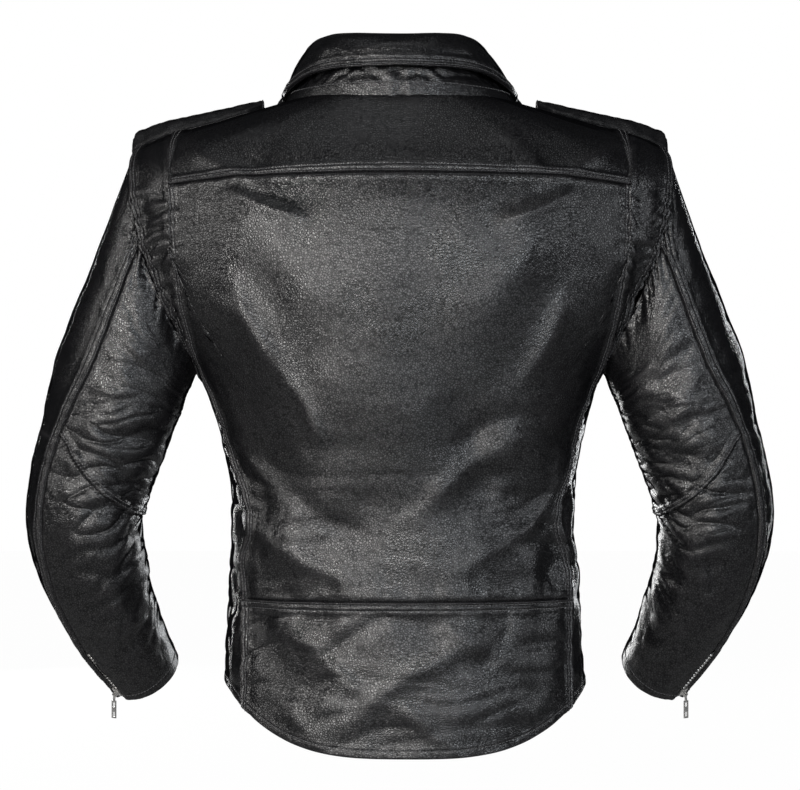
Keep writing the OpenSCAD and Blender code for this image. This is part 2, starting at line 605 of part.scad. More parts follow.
welt_w = 7;
welt_t = 1.2;
welt_lift = 1.5;          // height of a welt over the leather's face
module welt_pair(ends) {
    on_pocket(ends) for (side = [-1, 1])
        translate([-welt_w, side > 0 ? slot_half : -slot_half - welt_w, welt_lift - pocket_depth])
            cube([pocket_len(ends) + 2 * welt_w, welt_w, welt_t]);
}
module pocket_welts() {
    color(leather) {
        welt_pair(hand_pocket);
        mirrored() welt_pair(hand_pocket);
        welt_pair(chest_pocket);
    }
}
module pocket_zip_tapes() {
    on_pocket(hand_pocket) tape_pair(pocket_len(hand_pocket));
    mirrored() on_pocket(hand_pocket) tape_pair(pocket_len(hand_pocket));
    on_pocket(chest_pocket) tape_pair(pocket_len(chest_pocket));
}
module pocket_zip_teeth() {
    on_pocket(hand_pocket) teeth_pair(pocket_len(hand_pocket));
    mirrored() on_pocket(hand_pocket) teeth_pair(pocket_len(hand_pocket));
    on_pocket(chest_pocket) teeth_pair(pocket_len(chest_pocket));
}

// Pocket bags hang between the panel and the lining
module bag(phi0, phi1, t0, t1) {
    body_slab(function(u, v) [lerp(phi0, phi1, u), lerp(t0, t1, v)], 4, 5, 0, 0,
              lining_out + 3.4, lining_out + 2.4);
}
module pocket_bags() {
    color(cloth) {
        bag(128, 156, 0.06, 0.34);
        mirrored() bag(128, 156, 0.06, 0.34);
        bag(122, 148, 0.42, 0.66);
    }
}

slider_rest = slider_len / 2 + 1;   // distance of a closed slider from the zip's end

// ---- the nodes -------------------------------------------------------------------------------------------

back_yoke();
back_panel();
lower_back_panel();
back_pleat();  // left_back_pleat
mirrored() back_pleat();  // right_back_pleat
side_panel();  // left_side_panel
mirrored() side_panel();  // right_side_panel
front_panel(1);  // left_front_panel
mirrored() front_panel(-1);  // right_front_panel
back_lining();
front_lining(1);  // left_front_lining
mirrored() front_lining(-1);  // right_front_lining
neck_facing();
hanger_loop();
collar_stand();
collar_leaf();
lapel(1);  // left_lapel
mirrored() lapel(-1);  // right_lapel
collar_and_lapel_snaps();
epaulette();  // left_epaulette
mirrored() epaulette();  // right_epaulette
epaulette_snap();  // left_epaulette_snap
mirrored() epaulette_snap();  // right_epaulette_snap
strap_studs();
sleeve_head();  // left_sleeve_head
mirrored() sleeve_head();  // right_sleeve_head
upper_sleeve_top();  // left_upper_sleeve_top
upper_sleeve_under();  // left_upper_sleeve_under
forearm_top();  // left_forearm_top
forearm_under();  // left_forearm_under
mirrored() upper_sleeve_top();  // right_upper_sleeve_top
mirrored() upper_sleeve_under();  // right_upper_sleeve_under
mirrored() forearm_top();  // right_forearm_top
mirrored() forearm_under();  // right_forearm_under
upper_sleeve_lining();  // left_upper_sleeve_lining
mirrored() upper_sleeve_lining();  // right_upper_sleeve_lining
forearm_lining();  // left_forearm_lining
mirrored() forearm_lining();  // right_forearm_lining
on_cuff_zip() tape_pair(cuff_len);  // left_cuff_zip_tape
on_cuff_zip() teeth_pair(cuff_len);  // left_cuff_zip_teeth
on_cuff_zip(cuff_len - slider_rest) slider();  // left_cuff_slider
on_cuff_zip(cuff_len - slider_rest) rotate([0, 0, 180]) pull(cuff_pull_aside, cuff_pull_lift);  // left_cuff_pull
mirrored() on_cuff_zip() tape_pair(cuff_len);  // right_cuff_zip_tape
mirrored() on_cuff_zip() teeth_pair(cuff_len);  // right_cuff_zip_teeth
mirrored() on_cuff_zip(cuff_len - slider_rest) slider();  // right_cuff_slider
mirrored() on_cuff_zip(cuff_len - slider_rest) rotate([0, 0, 180]) pull(cuff_pull_aside, cuff_pull_lift);  // right_cuff_pull
on_front_zip() tape_pair(front_len);  // front_zip_tapes
on_front_zip() teeth_pair(front_len);  // front_zip_teeth
on_front_zip(front_len - slider_rest) slider();  // front_zip_slider
on_front_zip(front_len - slider_rest) pull();  // front_zip_pull
pocket_welts();
pocket_bags();
pocket_zip_tapes();
pocket_zip_teeth();
on_pocket(hand_pocket, pocket_len(hand_pocket) - slider_rest) slider();  // left_pocket_slider
on_pocket(hand_pocket, pocket_len(hand_pocket) - slider_rest) pull();  // left_pocket_pull
mirrored() on_pocket(hand_pocket, pocket_len(hand_pocket) - slider_rest) slider();  // right_pocket_slider
mirrored() on_pocket(hand_pocket, pocket_len(hand_pocket) - slider_rest) pull();  // right_pocket_pull
on_pocket(chest_pocket, pocket_len(chest_pocket) - slider_rest) slider();  // chest_pocket_slider
on_pocket(chest_pocket, pocket_len(chest_pocket) - slider_rest) pull();  // chest_pocket_pull
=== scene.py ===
# The looks of a leather riding jacket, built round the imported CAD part. Lengths are in millimetres in the row
# frame (+Z up, +Y the wearer's back, +X the wearer's left) and become metres when a mesh is made.
import math

import bpy
import numpy as np
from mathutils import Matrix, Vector


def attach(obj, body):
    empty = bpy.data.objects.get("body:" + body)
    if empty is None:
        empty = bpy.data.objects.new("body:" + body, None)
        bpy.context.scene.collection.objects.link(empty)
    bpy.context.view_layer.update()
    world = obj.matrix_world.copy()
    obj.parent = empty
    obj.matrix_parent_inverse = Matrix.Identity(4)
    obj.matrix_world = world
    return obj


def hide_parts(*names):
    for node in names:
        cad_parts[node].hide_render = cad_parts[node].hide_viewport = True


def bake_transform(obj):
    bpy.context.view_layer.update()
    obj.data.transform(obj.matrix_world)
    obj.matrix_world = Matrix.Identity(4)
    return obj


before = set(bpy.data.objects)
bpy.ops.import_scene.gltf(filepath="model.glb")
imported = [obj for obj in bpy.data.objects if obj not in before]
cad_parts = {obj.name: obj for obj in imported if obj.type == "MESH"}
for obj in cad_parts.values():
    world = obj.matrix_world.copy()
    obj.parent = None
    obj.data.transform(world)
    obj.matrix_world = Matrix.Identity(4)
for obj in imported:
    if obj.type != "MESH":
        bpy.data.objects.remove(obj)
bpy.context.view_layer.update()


MM = 0.001
RNG = np.random.default_rng(11)


# ---- small tools ----

def smooth(x, a=0.0, b=1.0):
    x = np.clip((np.asarray(x, float) - a) / (b - a), 0, 1)
    return x * x * (3 - 2 * x)


def bell(x, centre, width):
    return np.exp(-(((np.asarray(x, float) - centre) / width) ** 2))


def lerp(a, b, u):
    return a + (b - a) * u


def unit(v):
    return v / np.maximum(np.linalg.norm(v, axis=-1, keepdims=True), 1e-12)


def curve(knots, t):
    """Smooth curve through knots (parameter, value)."""
    k = np.array(knots, float)
    x, y = k[:, 0], k[:, 1]
    slope = np.empty(len(x))
    slope[1:-1] = (y[2:] - y[:-2]) / (x[2:] - x[:-2])
    slope[0] = (y[1] - y[0]) / (x[1] - x[0])
    slope[-1] = (y[-1] - y[-2]) / (x[-1] - x[-2])
    t = np.asarray(t, float)
    i = np.clip(np.searchsorted(x, t) - 1, 0, len(x) - 2)
    h = x[i + 1] - x[i]
    u = np.clip((t - x[i]) / h, 0, 1)
    return ((2 * u**3 - 3 * u**2 + 1) * y[i] + (u**3 - 2 * u**2 + u) * h * slope[i]
            + (3 * u**2 - 2 * u**3) * y[i + 1] + (u**3 - u**2) * h * slope[i + 1])


PERM = np.tile(RNG.permutation(256), 3)
GRAD = unit(RNG.normal(size=(256, 3)))


def noise(x, y, z=0.0):
    """Gradient noise in about -1..1."""
    x, y, z = np.broadcast_arrays(*(np.asarray(c, float) for c in (x, y, z)))
    xi, yi, zi = (np.floor(c).astype(int) for c in (x, y, z))
    xf, yf, zf = x - xi, y - yi, z - zi
    fx, fy, fz = (c * c * c * (c * (c * 6 - 15) + 10) for c in (xf, yf, zf))
    total = np.zeros(x.shape)
    for dx in (0, 1):
        for dy in (0, 1):
            for dz in (0, 1):
                h = PERM[PERM[PERM[(xi + dx) & 255] + ((yi + dy) & 255)] + ((zi + dz) & 255)]
                g = GRAD[h]
                dot = g[..., 0] * (xf - dx) + g[..., 1] * (yf - dy) + g[..., 2] * (zf - dz)
                w = (fx if dx else 1 - fx) * (fy if dy else 1 - fy) * (fz if dz else 1 - fz)
                total += w * dot
    return total * 1.6


def crease(n, sharp=0.16):
    """Turns noise into thin valleys between rounded puffs, about -1..0.3."""
    return 0.3 - 1.3 * np.exp(-np.abs(n) / sharp)


# ---- the body's surface ----
# phi runs round the body in degrees from the middle of the back, t up it from the hem (0) to the neck (1)

BODY_Y = -62.0
CORNER = 2.35
HEM_RISE = 2.8
BODY_LEVELS = (0, .15, .3, .5, .6, .7, .8, .88, .94, 1)


def knots_at(levels, *values):
    return list(zip(levels, values))


SIDE_X = knots_at(BODY_LEVELS, 184, 179, 178, 207, 252, 284, 288, 262, 184, 104)
SIDE_Z = knots_at(BODY_LEVELS, -578, -475, -368, -262, -195, -130, -68, -30, -6, 16)
BACK_Y = knots_at(BODY_LEVELS, 110, 102, 101, 120, 127, 127, 119, 105, 88, 70)
BACK_Z = knots_at(BODY_LEVELS, -643, -505, -372, -262, -200, -140, -80, -38, -6, 22)
FRONT_Y = knots_at(BODY_LEVELS, 118, 118, 119, 126, 126, 121, 113, 104, 94, 82)
FRONT_Z = knots_at(BODY_LEVELS, -596, -480, -368, -262, -205, -155, -115, -90, -73, -58)
SWAY = -7.0     # the waist hangs a little to the wearer's right


def power(x, p):
    return np.sign(x) * np.abs(x) ** p


def body(phi, t):
    p = np.radians(phi)
    s, c = np.sin(p), np.cos(p)
    w = np.abs(s) ** HEM_RISE
    back = c >= 0
    x = curve(SIDE_X, t) * power(s, 2 / CORNER)
    y = np.where(back, curve(BACK_Y, t), curve(FRONT_Y, t)) * power(c, 2 / CORNER)
    z = curve(SIDE_Z, t) * w + np.where(back, curve(BACK_Z, t), curve(FRONT_Z, t)) * (1 - w)
    x = x + SWAY * (1 - smooth(t, 0.05, 0.55)) * smooth(c, -0.35, 0.3)
    return np.stack([x, BODY_Y + y, z], -1)


def phi_at_x(x, t):
    return np.degrees(np.arcsin(np.minimum(np.abs(x) / curve(SIDE_X, t), 1) ** (CORNER / 2)))


def halve(f, lo, hi, n=16):
    """Where the rising function f crosses zero."""
    lo, hi = np.asarray(lo, float) + 0 * f(lo), np.asarray(hi, float) + 0 * f(hi)
    for _ in range(n):
        m = (lo + hi) / 2
        below = f(m) < 0
        lo, hi = np.where(below, m, lo), np.where(below, hi, m)
    return (lo + hi) / 2


def level_at_z(phi, z):
    return halve(lambda m: body(phi, m)[..., 2] - z, np.zeros_like(phi), np.ones_like(phi))


def level_at_width(half):
    return halve(lambda m: half - curve(SIDE_X, m), np.full_like(half, 0.8), np.ones_like(half))


SHOULDER_PHI = 98.0
YOKE_HALF = 230.0
BREAK_T = 0.36
NECK_PHI = 118.0
EDGE_X = [(0, 165), (.15, 165), (.2, 163), (.235, 155), (.28, 160), (.33, 171), (.42, 183), (.5, 201),
          (.56, 214), (.62, 223), (.7, 229), (.8, YOKE_HALF)]
YOKE_CORNER_T = 0.8
FRONT_SEAM_PSI = 215.0
SIDE_HIGH_PSI = 150.0
SIDE_LOW_T = 0.525


def armhole(psi):
    r = np.radians(psi)
    return 90 - 25 * np.sin(r), 0.69 + 0.19 * np.cos(r)


def back_edge(t):
    return phi_at_x(curve(EDGE_X, t), t)


YOKE_CORNER = float(back_edge(YOKE_CORNER_T))


def yoke_edge_t(phi):
    return level_at_width(YOKE_HALF / np.abs(np.sin(np.radians(phi))) ** (2 / CORNER))


def yoke_low_t(phi):
    inner = np.abs(phi) < YOKE_CORNER
    seam = level_at_z(phi, -66 - 11 * (np.abs(phi) / YOKE_CORNER) ** 2)
    return np.where(inner, seam, yoke_edge_t(np.where(inner, YOKE_CORNER, phi)))


HAND_POCKET = ((147, 0.13), (137, 0.30))
CHEST_POCKET = ((136, 0.49), (130, 0.62))


def front_phi(x, t):
    return 180 - np.where(x < 0, -1, 1) * phi_at_x(x, t)


def zip_x(t):
    return lerp(-10.0, -48.0, t / BREAK_T)


ZIP_EDGE = 8.4      # from the front zip's middle to the edge of either front


def edge_phi(t, side):
    low = side * zip_x(np.minimum(t, BREAK_T)) + ZIP_EDGE
    high = float(body(NECK_PHI, 1.0)[0])
    u = np.clip((t - BREAK_T) / (1 - BREAK_T), 0, 1.1)
    return front_phi(lerp(low, high, u**1.1), t)


def front_seam_phi(t):
    top = armhole(FRONT_SEAM_PSI)
    return lerp(125.0, top[0], t / top[1])


# ---- the sleeve's surface ----
# psi runs round the sleeve in degrees from its outer side over the back, s along it from the armhole to the cuff

ARM_LEVELS = (0, .12, .28, .42, .55, .64, .75, .87, 1)
ARM_X = knots_at(ARM_LEVELS, 246, 262, 283, 302, 318, 322, 313, 295, 269)
ARM_Z = knots_at(ARM_LEVELS, -140, -195, -262, -322, -378, -421, -473, -524, -577)
ARM_Y = [(0, 0), (.28, 2), (.42, 0), (.55, -4), (.64, -9), (.75, -24), (.87, -50), (1, -86)]
ARM_HALF = [(0, 70), (.2, 70), (.35, 68), (.5, 63), (.64, 60), (.8, 52), (1, 38)]
ARM_DEPTH = [(0, 64), (.2, 66), (.35, 66), (.5, 63), (.64, 62), (.8, 55), (1, 44)]
OUTER_SEAM = [(0, 92), (.2, 75), (.42, 57), (.64, 48), (.85, 38), (1, 36)]
INNER_SEAM = 238.0
ZIP_START = 0.87


def arm_at(s):
    return np.stack([curve(ARM_X, s), BODY_Y + curve(ARM_Y, s), curve(ARM_Z, s)], -1)


def sleeve(psi, s):
    psi, s = np.broadcast_arrays(np.asarray(psi, float), np.asarray(s, float))
    p = np.radians(psi)
    r = s + 0.25 * (1 - np.cos(p)) / 2 * np.maximum(0, 1 - s / 0.5) ** 2
    along = unit(arm_at(np.minimum(r + 0.01, 1)) - arm_at(np.maximum(r - 0.01, 0)))
    depth = unit(np.array([0, 1.0, 0]) - along * along[..., 1:2])
    out = np.cross(depth, -along)
    past = np.maximum(r - 1, 0)[..., None] * 470 * along
    wide = out * (curve(ARM_HALF, r) * np.cos(p))[..., None]
    deep = depth * (curve(ARM_DEPTH, r) * np.sin(p))[..., None]
    tube = arm_at(np.minimum(r, 1)) + past + wide + deep
    root = body(*armhole(psi))
    k = smooth(s, 0, 0.3)[..., None]
    return root + (tube - root) * k


HEAD = 0.3      # share of the sleeve that is redistributed by true length near the armhole
HEAD_PSI = np.linspace(-130, 250, 96)
HEAD_Q = np.linspace(0, 1, 41)


def head_table():
    fine = np.linspace(0, HEAD, 161)
    p = sleeve(HEAD_PSI[:, None], fine[None, :])
    run = np.linalg.norm(np.diff(p, axis=1), axis=-1).cumsum(1)
    run = np.pad(run, ((0, 0), (1, 0)))
    run /= run[:, -1:]
    return np.stack([np.interp(HEAD_Q, r, fine) for r in run])


HEAD_S = head_table()


def sleeve_s(psi, q):
    """The sleeve's own parameter at psi for the even parameter q."""
    psi, q = np.broadcast_arrays(np.asarray(psi, float), np.asarray(q, float))
    x = (np.mod(psi + 130, 360) - 130 - HEAD_PSI[0]) / (HEAD_PSI[1] - HEAD_PSI[0])
    y = np.clip(q / HEAD, 0, 1) * (len(HEAD_Q) - 1)
    i = np.clip(x.astype(int), 0, len(HEAD_PSI) - 2)
    j = np.clip(y.astype(int), 0, len(HEAD_Q) - 2)
    fx, fy = x - i, y - j
    s = (HEAD_S[i, j] * (1 - fx) + HEAD_S[i + 1, j] * fx) * (1 - fy) + (
        HEAD_S[i, j + 1] * (1 - fx) + HEAD_S[i + 1, j + 1] * fx) * fy
    return np.where(q > HEAD, q, s)


def arm(psi, q):
    """The sleeve by an evenly spread parameter q, which may run a little above the armhole."""
    p = sleeve(psi, sleeve_s(psi, np.maximum(q, 0)))
    back = np.minimum(q, 0)[..., None] / 0.02
    return p + (sleeve(psi, sleeve_s(psi, 0.02 + 0 * q)) - sleeve(psi, 0 * q)) * back


def normal(surf, a, b):
    e = 0.004
    if surf is arm:
        b = np.maximum(b, 0.012)
    n = np.cross(surf(a + 0.5, b) - surf(a - 0.5, b), surf(a, b + e) - surf(a, b - e))
    return -unit(n)


# ---- relief: how far the leather stands out from those surfaces ----

def strokes(x, z, folds):
    """Long soft folds: each is (x0, z0, x1, z1, width, height, bow)."""
    total = np.zeros(np.shape(x))
    for x0, z0, x1, z1, width, height, bow in folds:
        dx, dz = x1 - x0, z1 - z0
        length = math.hypot(dx, dz)
        along = ((x - x0) * dx + (z - z0) * dz) / length
        bowed = bow * np.sin(np.pi * np.clip(along / length, 0, 1))
        across = ((x - x0) * dz - (z - z0) * dx) / length + bowed
        ends = smooth(along, -0.18 * length, 0.3 * length) * (1 - smooth(along, 0.7 * length, 1.18 * length))
        total += height * ends * np.exp(-np.abs(across / width) ** 1.7)
    return total


BACK_FOLDS = [
    (213, -34, 132, -80, 9, 2.6, 3), (-213, -34, -132, -80, 9, 2.6, -3), (120, -30, 150, -70, 12, -2.0, 3),
    (-96, -28, -140, -66, 11, 2.2, -3), (171, -82, 96, -112, 8, 2.6, 3), (-171, -84, -100, -116, 8, 2.6, -3),
    (166, -170, 114, -262, 9, 3.0, 5), (114, -262, 74, -335, 9, 2.4, -4), (-166, -175, -120, -270, 9, 2.8, -5),
    (150, -95, 60, -210, 26, 3.0, 6), (-150, -95, -70, -220, 26, 2.8, -6),
    (175, -180, 95, -360, 22, 3.2, -12), (-178, -190, -100, -380, 22, 3.4, 12),
    (60, -250, 120, -480, 30, 3.4, 10), (-40, -260, -115, -470, 24, -3.0, -8),
    (-110, -330, -20, -400, 13, 2.6, 5), (-150, -400, -60, -455, 10, 2.4, -4),
    (120, -370, 30, -430, 13, -2.4, 5), (140, -420, 50, -470, 10, 2.4, 3),
    (-130, -300, -60, -330, 10, -2.0, 3), (165, -330, 110, -390, 9, 2.2, 3),
    (-168, -350, -128, -420, 9, 2.4, -3), (20, -120, -10, -420, 46, 2.4, 10),
]
LOW_FOLDS = [
    (-100, -520, 60, -610, 12, 4.0, 8), (120, -515, 40, -580, 11, 3.6, -5),
    (-30, -505, -140, -560, 10, 3.2, 4), (150, -540, 70, -640, 10, 3.2, 5),
    (10, -500, 90, -560, 9, -3.0, 4), (-70, -560, -150, -620, 10, 3.0, -4),
    (0, -590, -60, -640, 10, 3.2, 3), (60, -590, 130, -600, 9, 2.6, 3),
]


FOLDS = {}      # the draped folds, by "body" or by the sleeve's side


def fold(key, a, b):
    return FOLDS[key](a, b) if key in FOLDS else 0.0


def body_relief(phi, t):
    p = body(phi, t)
    x, z = p[..., 0], p[..., 2]
    run = np.asarray(phi, float) * 3.1
    c = np.cos(np.radians(phi))
    back = smooth(c, -0.1, 0.35)
    low = 1 - smooth(z, -505, -480)
    h = 2.2 * noise(run / 95, z / 150, 3.1) + 1.0 * noise(run / 46, z / 70, 8.3)
    h += back * (1.35 * (1 - low) * strokes(x, z, BACK_FOLDS) + 0.75 * low * strokes(x, z, LOW_FOLDS))
    warp = 22 * noise(run / 120, z / 120, 5.5)
    waist = bell(z, -430, 95)
    puckers = crease(noise(run / 92 + 3, (z + warp) / 25, 1.2), 0.3)
    h += waist * (0.6 + 0.9 * smooth(np.abs(x), 60, 170)) * 1.5 * puckers
    h += low * 1.5 * crease(noise((run + z * 0.6) / 75, (z + warp * 1.3) / 24, 7.7), 0.34)
    pleat = smooth(np.abs(x), 205, 235) * back * smooth(z, -330, -290) * (1 - smooth(z, -100, -60))
    h += pleat * 3.4 * crease(noise(run / 40, (z + 0.5 * x * np.sign(x) + warp * 0.5) / 15, 2.9), 0.26)
    h += back * fold("body", phi, t) * (0.10 + 0.26 * waist + 0.24 * low + 0.16 * smooth(np.abs(x), 90, 190))
    front = 1 - back
    h += front * 1.2 * crease(noise(run / 80, (z + warp) / 34, 12.4), 0.4)
    h += 0.35 * noise(run / 16, z / 16, 4.4)
    calm = smooth(t, -0.02, 0.06) * (1 - smooth(t, 0.93, 1.0))
    top = 1 - 0.3 * smooth(z, -66, -40)
    # The front edges lie flat beside the zip, and the leather lies flat under the pockets
    flat = 1 - front * np.maximum(1 - smooth(np.abs(x + 29), 45, 75), smooth(t, 0.8, 0.95) * 0.6)
    for pocket in (HAND_POCKET, CHEST_POCKET):
        (phi0, t0), (phi1, t1) = pocket
        t_mid = np.clip((t - t0) / (t1 - t0), 0, 1)
        away = np.hypot((np.abs(phi) - lerp(phi0, phi1, t_mid)) * 2.6, (t - lerp(t0, t1, t_mid)) * 560)
        flat = np.minimum(flat, np.where(back > 0.5, 1, smooth(away, 14, 40)))
    return h * (0.35 + 0.65 * calm) * top * flat


def sleeve_relief(psi, q, side):
    """Creases run round the inside of the bent arm and fade towards its smooth outer side."""
    p = np.radians(psi)
    seed = 20.0 if side > 0 else 51.0
    cx, cy = 62 * np.cos(p), 62 * np.sin(p)
    length = np.asarray(q, float) * 560
    warp = 15 * noise(cx / 60, cy / 60, length / 80 + seed)
    inside = (0.16 + 0.84 * smooth(-np.cos(p), -0.8, 0.35)) * (1 - 0.6 * bell(np.mod(psi, 360), 192, 36))
    band = smooth(q, 0.05, 0.2) * (1 - 0.7 * smooth(q, 0.84, 0.97))
    elbow = bell(q, 0.6, 0.2)
    slant = 24 * np.cos(p - 3.6)
    deep = crease(noise(cx / 58, cy / 58, (length + warp + slant) / 21 + seed), 0.3)
    small = crease(noise(cx / 30, cy / 30, (length + warp - slant * 0.5) / 12 + seed + 4.1), 0.26)
    h = inside * band * (2.2 * (0.65 + 0.7 * elbow) * deep + 0.6 * small)
    h += 2.2 * band * noise(cx / 60, cy / 60, length / 90 + seed + 7.7)
    h += 0.3 * noise(cx / 13, cy / 13, length / 13 + seed + 2.2)
    h += 0.5 * (0.25 + 0.75 * inside) * band * fold(side, np.mod(psi, 360), q)
    root = smooth(q, 0.0, 0.10)
    a, b = armhole(psi)
    return h * root + (1 - root) * body_relief(side * a, b)


# ---- patches: sewn pieces of leather ----

LEFT, RIGHT, BOTTOM, TOP = range(4)     # a patch's edges
OVER, UNDER, FREE, PLAIN, TURNED, ROLL = "over", "under", "free", "plain", "turned", "roll"
STITCH_AT = (3.6, 9.0)
HEM_STITCH = (8.0,)
LINES = {
    OVER: [0, .3, .8, 1.4, 2.1, 2.8, 3.6, 4.4, 5.6, 7.2, 8.2, 9.0, 9.8, 11, 13, 16],
    UNDER: [-5, -3, -1.5, -.4, .5, 1.5, 2.7, 4.2, 5.8, 8, 11],
    TURNED: [0, .3, .8, 1.4, 2.3, 4, 6.2, 7.4, 8.2, 9.2, 11, 14],
    FREE: [0, .3, .8, 1.5, 2.4, 3.4, 4.6, 6.5, 9],
    PLAIN: [0, 3],
    ROLL: [-5, -4.2, -3.2, -2, -.8, .6, 2, 3.6, 5.5, 8],
}


def edge_height(kind, d, s, seed):
    """Height of a panel at distance d inside its edge, s along it."""
    pucker = np.exp(-np.abs(d - 4) / 15) * noise(s / 10.5, d / 46, seed) * smooth(d, 0.5, 4)
    if kind == OVER:
        h = 1.3 * (1 - smooth(d, 10.5, 16)) + 1.0 * bell(d, 1.7, 1.3) - 2.0 * (1 - smooth(d, -0.2, 2.0)) ** 1.6
        return h - 0.55 * bell(d, 3.6, 1.0) + 0.5 * bell(d, 6.3, 1.6) - 0.55 * bell(d, 9, 1.0) + 1.0 * pucker
    if kind == UNDER:
        return -1.6 * (1 - smooth(d, -1.0, 1.2)) + 0.7 * bell(d, 4.2, 2.6) + 0.9 * pucker
    if kind == TURNED:
        h = 0.8 * (1 - smooth(d, 9, 13)) - 1.3 * (1 - smooth(d, -0.2, 1.5)) ** 1.5
        return h - 0.5 * bell(d, 8, 0.95) + 0.6 * pucker
    if kind == ROLL:
        return -6.2 * (1 - smooth(d, -5.2, 4.5)) ** 1.6
    if kind == FREE:
        return -1.0 * (1 - smooth(d, -0.2, 1.4)) ** 1.5 - 0.4 * bell(d, 3.4, 0.9)
    return 0 * d


class Patch:
    """place(u, v) gives the two parameters on surf; edges are the kinds of the left, right, bottom and top."""

    def __init__(self, place, surf, relief, edges, step=3.0, thick=1.6, lift=0.0, seed=0.0, detail=None,
                 flip=False, fine=(1.0, 1.0)):
        self.place, self.surf, self.relief, self.edges, self.fine = place, surf, relief, edges, fine
        self.step, self.thick, self.lift, self.seed, self.detail = step, thick, lift, seed, detail
        self.side = np.array([-1.0 if flip else 1.0, 1, 1])
        k = np.linspace(0, 1, 33)
        g = self.surf(*self.place(k[:, None] + 0 * k[None, :], 0 * k[:, None] + k[None, :]))
        across = np.linalg.norm(np.diff(g, axis=0), axis=-1).sum(0)
        down = np.linalg.norm(np.diff(g, axis=1), axis=-1).sum(1)
        self.width = lambda v: np.interp(v, k, np.maximum(across, 6))
        self.height = lambda u: np.interp(u, k, np.maximum(down, 6))

    def point(self, u, v, off=0.0):
        """Displaced point and outward normal at (u, v)."""
        a, b = self.place(u, v)
        n = normal(self.surf, a, b)
        w, h = self.width(v), self.height(u)
        lift = self.lift + self.relief(a, b)
        reach = ((u * w, v * h), ((1 - u) * w, v * h), (v * h, u * w), ((1 - v) * h, u * w))
        for i, (kind, (d, s)) in enumerate(zip(self.edges, reach)):
            lift = lift + edge_height(kind, d, s, self.seed + i * 3.7)
        if self.detail is not None:
            lift = lift + self.detail(a, b)
        return (self.surf(a, b) + n * (lift + off)[..., None]) * self.side, n * self.side

    def lines(self, low, high, size):
        """Grid lines over a span of size mm: (distance from its low end, from its high end, share between)."""
        a = [d for d in LINES[low] if d < size * 0.45]
        b = [d for d in LINES[high] if d < size * 0.45]
        n = max(2, int((size - a[-1] - b[-1]) / self.step))
        mid = [(a[-1], b[-1], i / n) for i in range(1, n)]
        return [(d, 0, -1) for d in a] + mid + [(0, d, -2) for d in reversed(b)]

    @staticmethod
    def spot(line, size):
        low, high, share = line
        if share == -1:
            return low / size
        if share == -2:
            return 1 - high / size
        return lerp(low / size, 1 - high / size, share)

    def grid(self):
        spread = np.linspace(0, 1, 9)
        lu = self.lines(self.edges[LEFT], self.edges[RIGHT], float(np.median(self.width(spread))))
        lv = self.lines(self.edges[BOTTOM], self.edges[TOP], float(np.median(self.height(spread))))
        # Rows between the two fine levels are three times as close
        rows = lv[:1]
        for a, b in zip(lv, lv[1:]):
            if a[2] >= 0 and b[2] >= 0 and self.fine[0] < a[2] < self.fine[1]:
                rows += [(a[0], a[1], lerp(a[2], b[2], k / 3)) for k in (1, 2)]
            rows.append(b)
        u = np.zeros((len(lu), len(rows)))
        v = np.zeros_like(u)
        for i, line in enumerate(lu):
            u[i] = self.spot(line, self.width(0.5))
        for _ in range(2):
            for j, line in enumerate(rows):
                v[:, j] = self.spot(line, self.height(np.clip(u[:, j], 0, 1)))
            for i, line in enumerate(lu):
                u[i] = self.spot(line, self.width(np.clip(v[i], 0, 1)))
        return u, v


ROOT = bpy.context.scene.collection


def make_mesh(name, points, faces, materials, face_mats=None, smooth_shade=True):
    mesh = bpy.data.meshes.new(name)
    pts = np.asarray(points, np.float32).reshape(-1, 3) * MM
    mesh.vertices.add(len(pts))
    mesh.vertices.foreach_set("co", pts.ravel())
    faces = [np.asarray(f, np.int32).reshape(-1, f.shape[-1]) for f in faces]
    loops = np.concatenate([f.ravel() for f in faces])
    sizes = np.concatenate([np.full(len(f), f.shape[1], np.int32) for f in faces])
    mesh.loops.add(len(loops))
    mesh.loops.foreach_set("vertex_index", loops)
    mesh.polygons.add(len(sizes))
    mesh.polygons.foreach_set("loop_start", np.concatenate([[0], np.cumsum(sizes)[:-1]]).astype(np.int32))
    for m in materials:
        mesh.materials.append(m)
    if face_mats is not None:
        mesh.polygons.foreach_set("material_index", np.asarray(face_mats, np.int32))
    if smooth_shade:
        mesh.polygons.foreach_set("use_smooth", np.ones(len(sizes), bool))
    mesh.update(calc_edges=True)
    mesh.validate()
    piece = bpy.data.objects.new(name, mesh)
    ROOT.objects.link(piece)
    return piece


def quads(nu, nv, start=0):
    i, j = np.meshgrid(np.arange(nu - 1), np.arange(nv - 1), indexing="ij")
    a = (i * nv + j).ravel() + start
    return np.stack([a, a + nv, a + nv + 1, a + 1], -1)


def tube_faces(rings, around, copies=1, loop=False):
    """Walls and end caps of equal tubes, whose points run ring by ring and tube by tube."""
    k = np.arange(around)
    after = (k + 1) % around
    r = np.arange(rings if loop else rings - 1)[:, None]
    low, high = r * around, (r + 1) % rings * around
    walls = np.stack([low + k, low + after, high + after, high + k], -1).reshape(-1, 4)
    caps = np.stack([k[::-1], k + (rings - 1) * around])
    base = (np.arange(copies) * rings * around)[:, None, None]
    return walls + base, caps + base


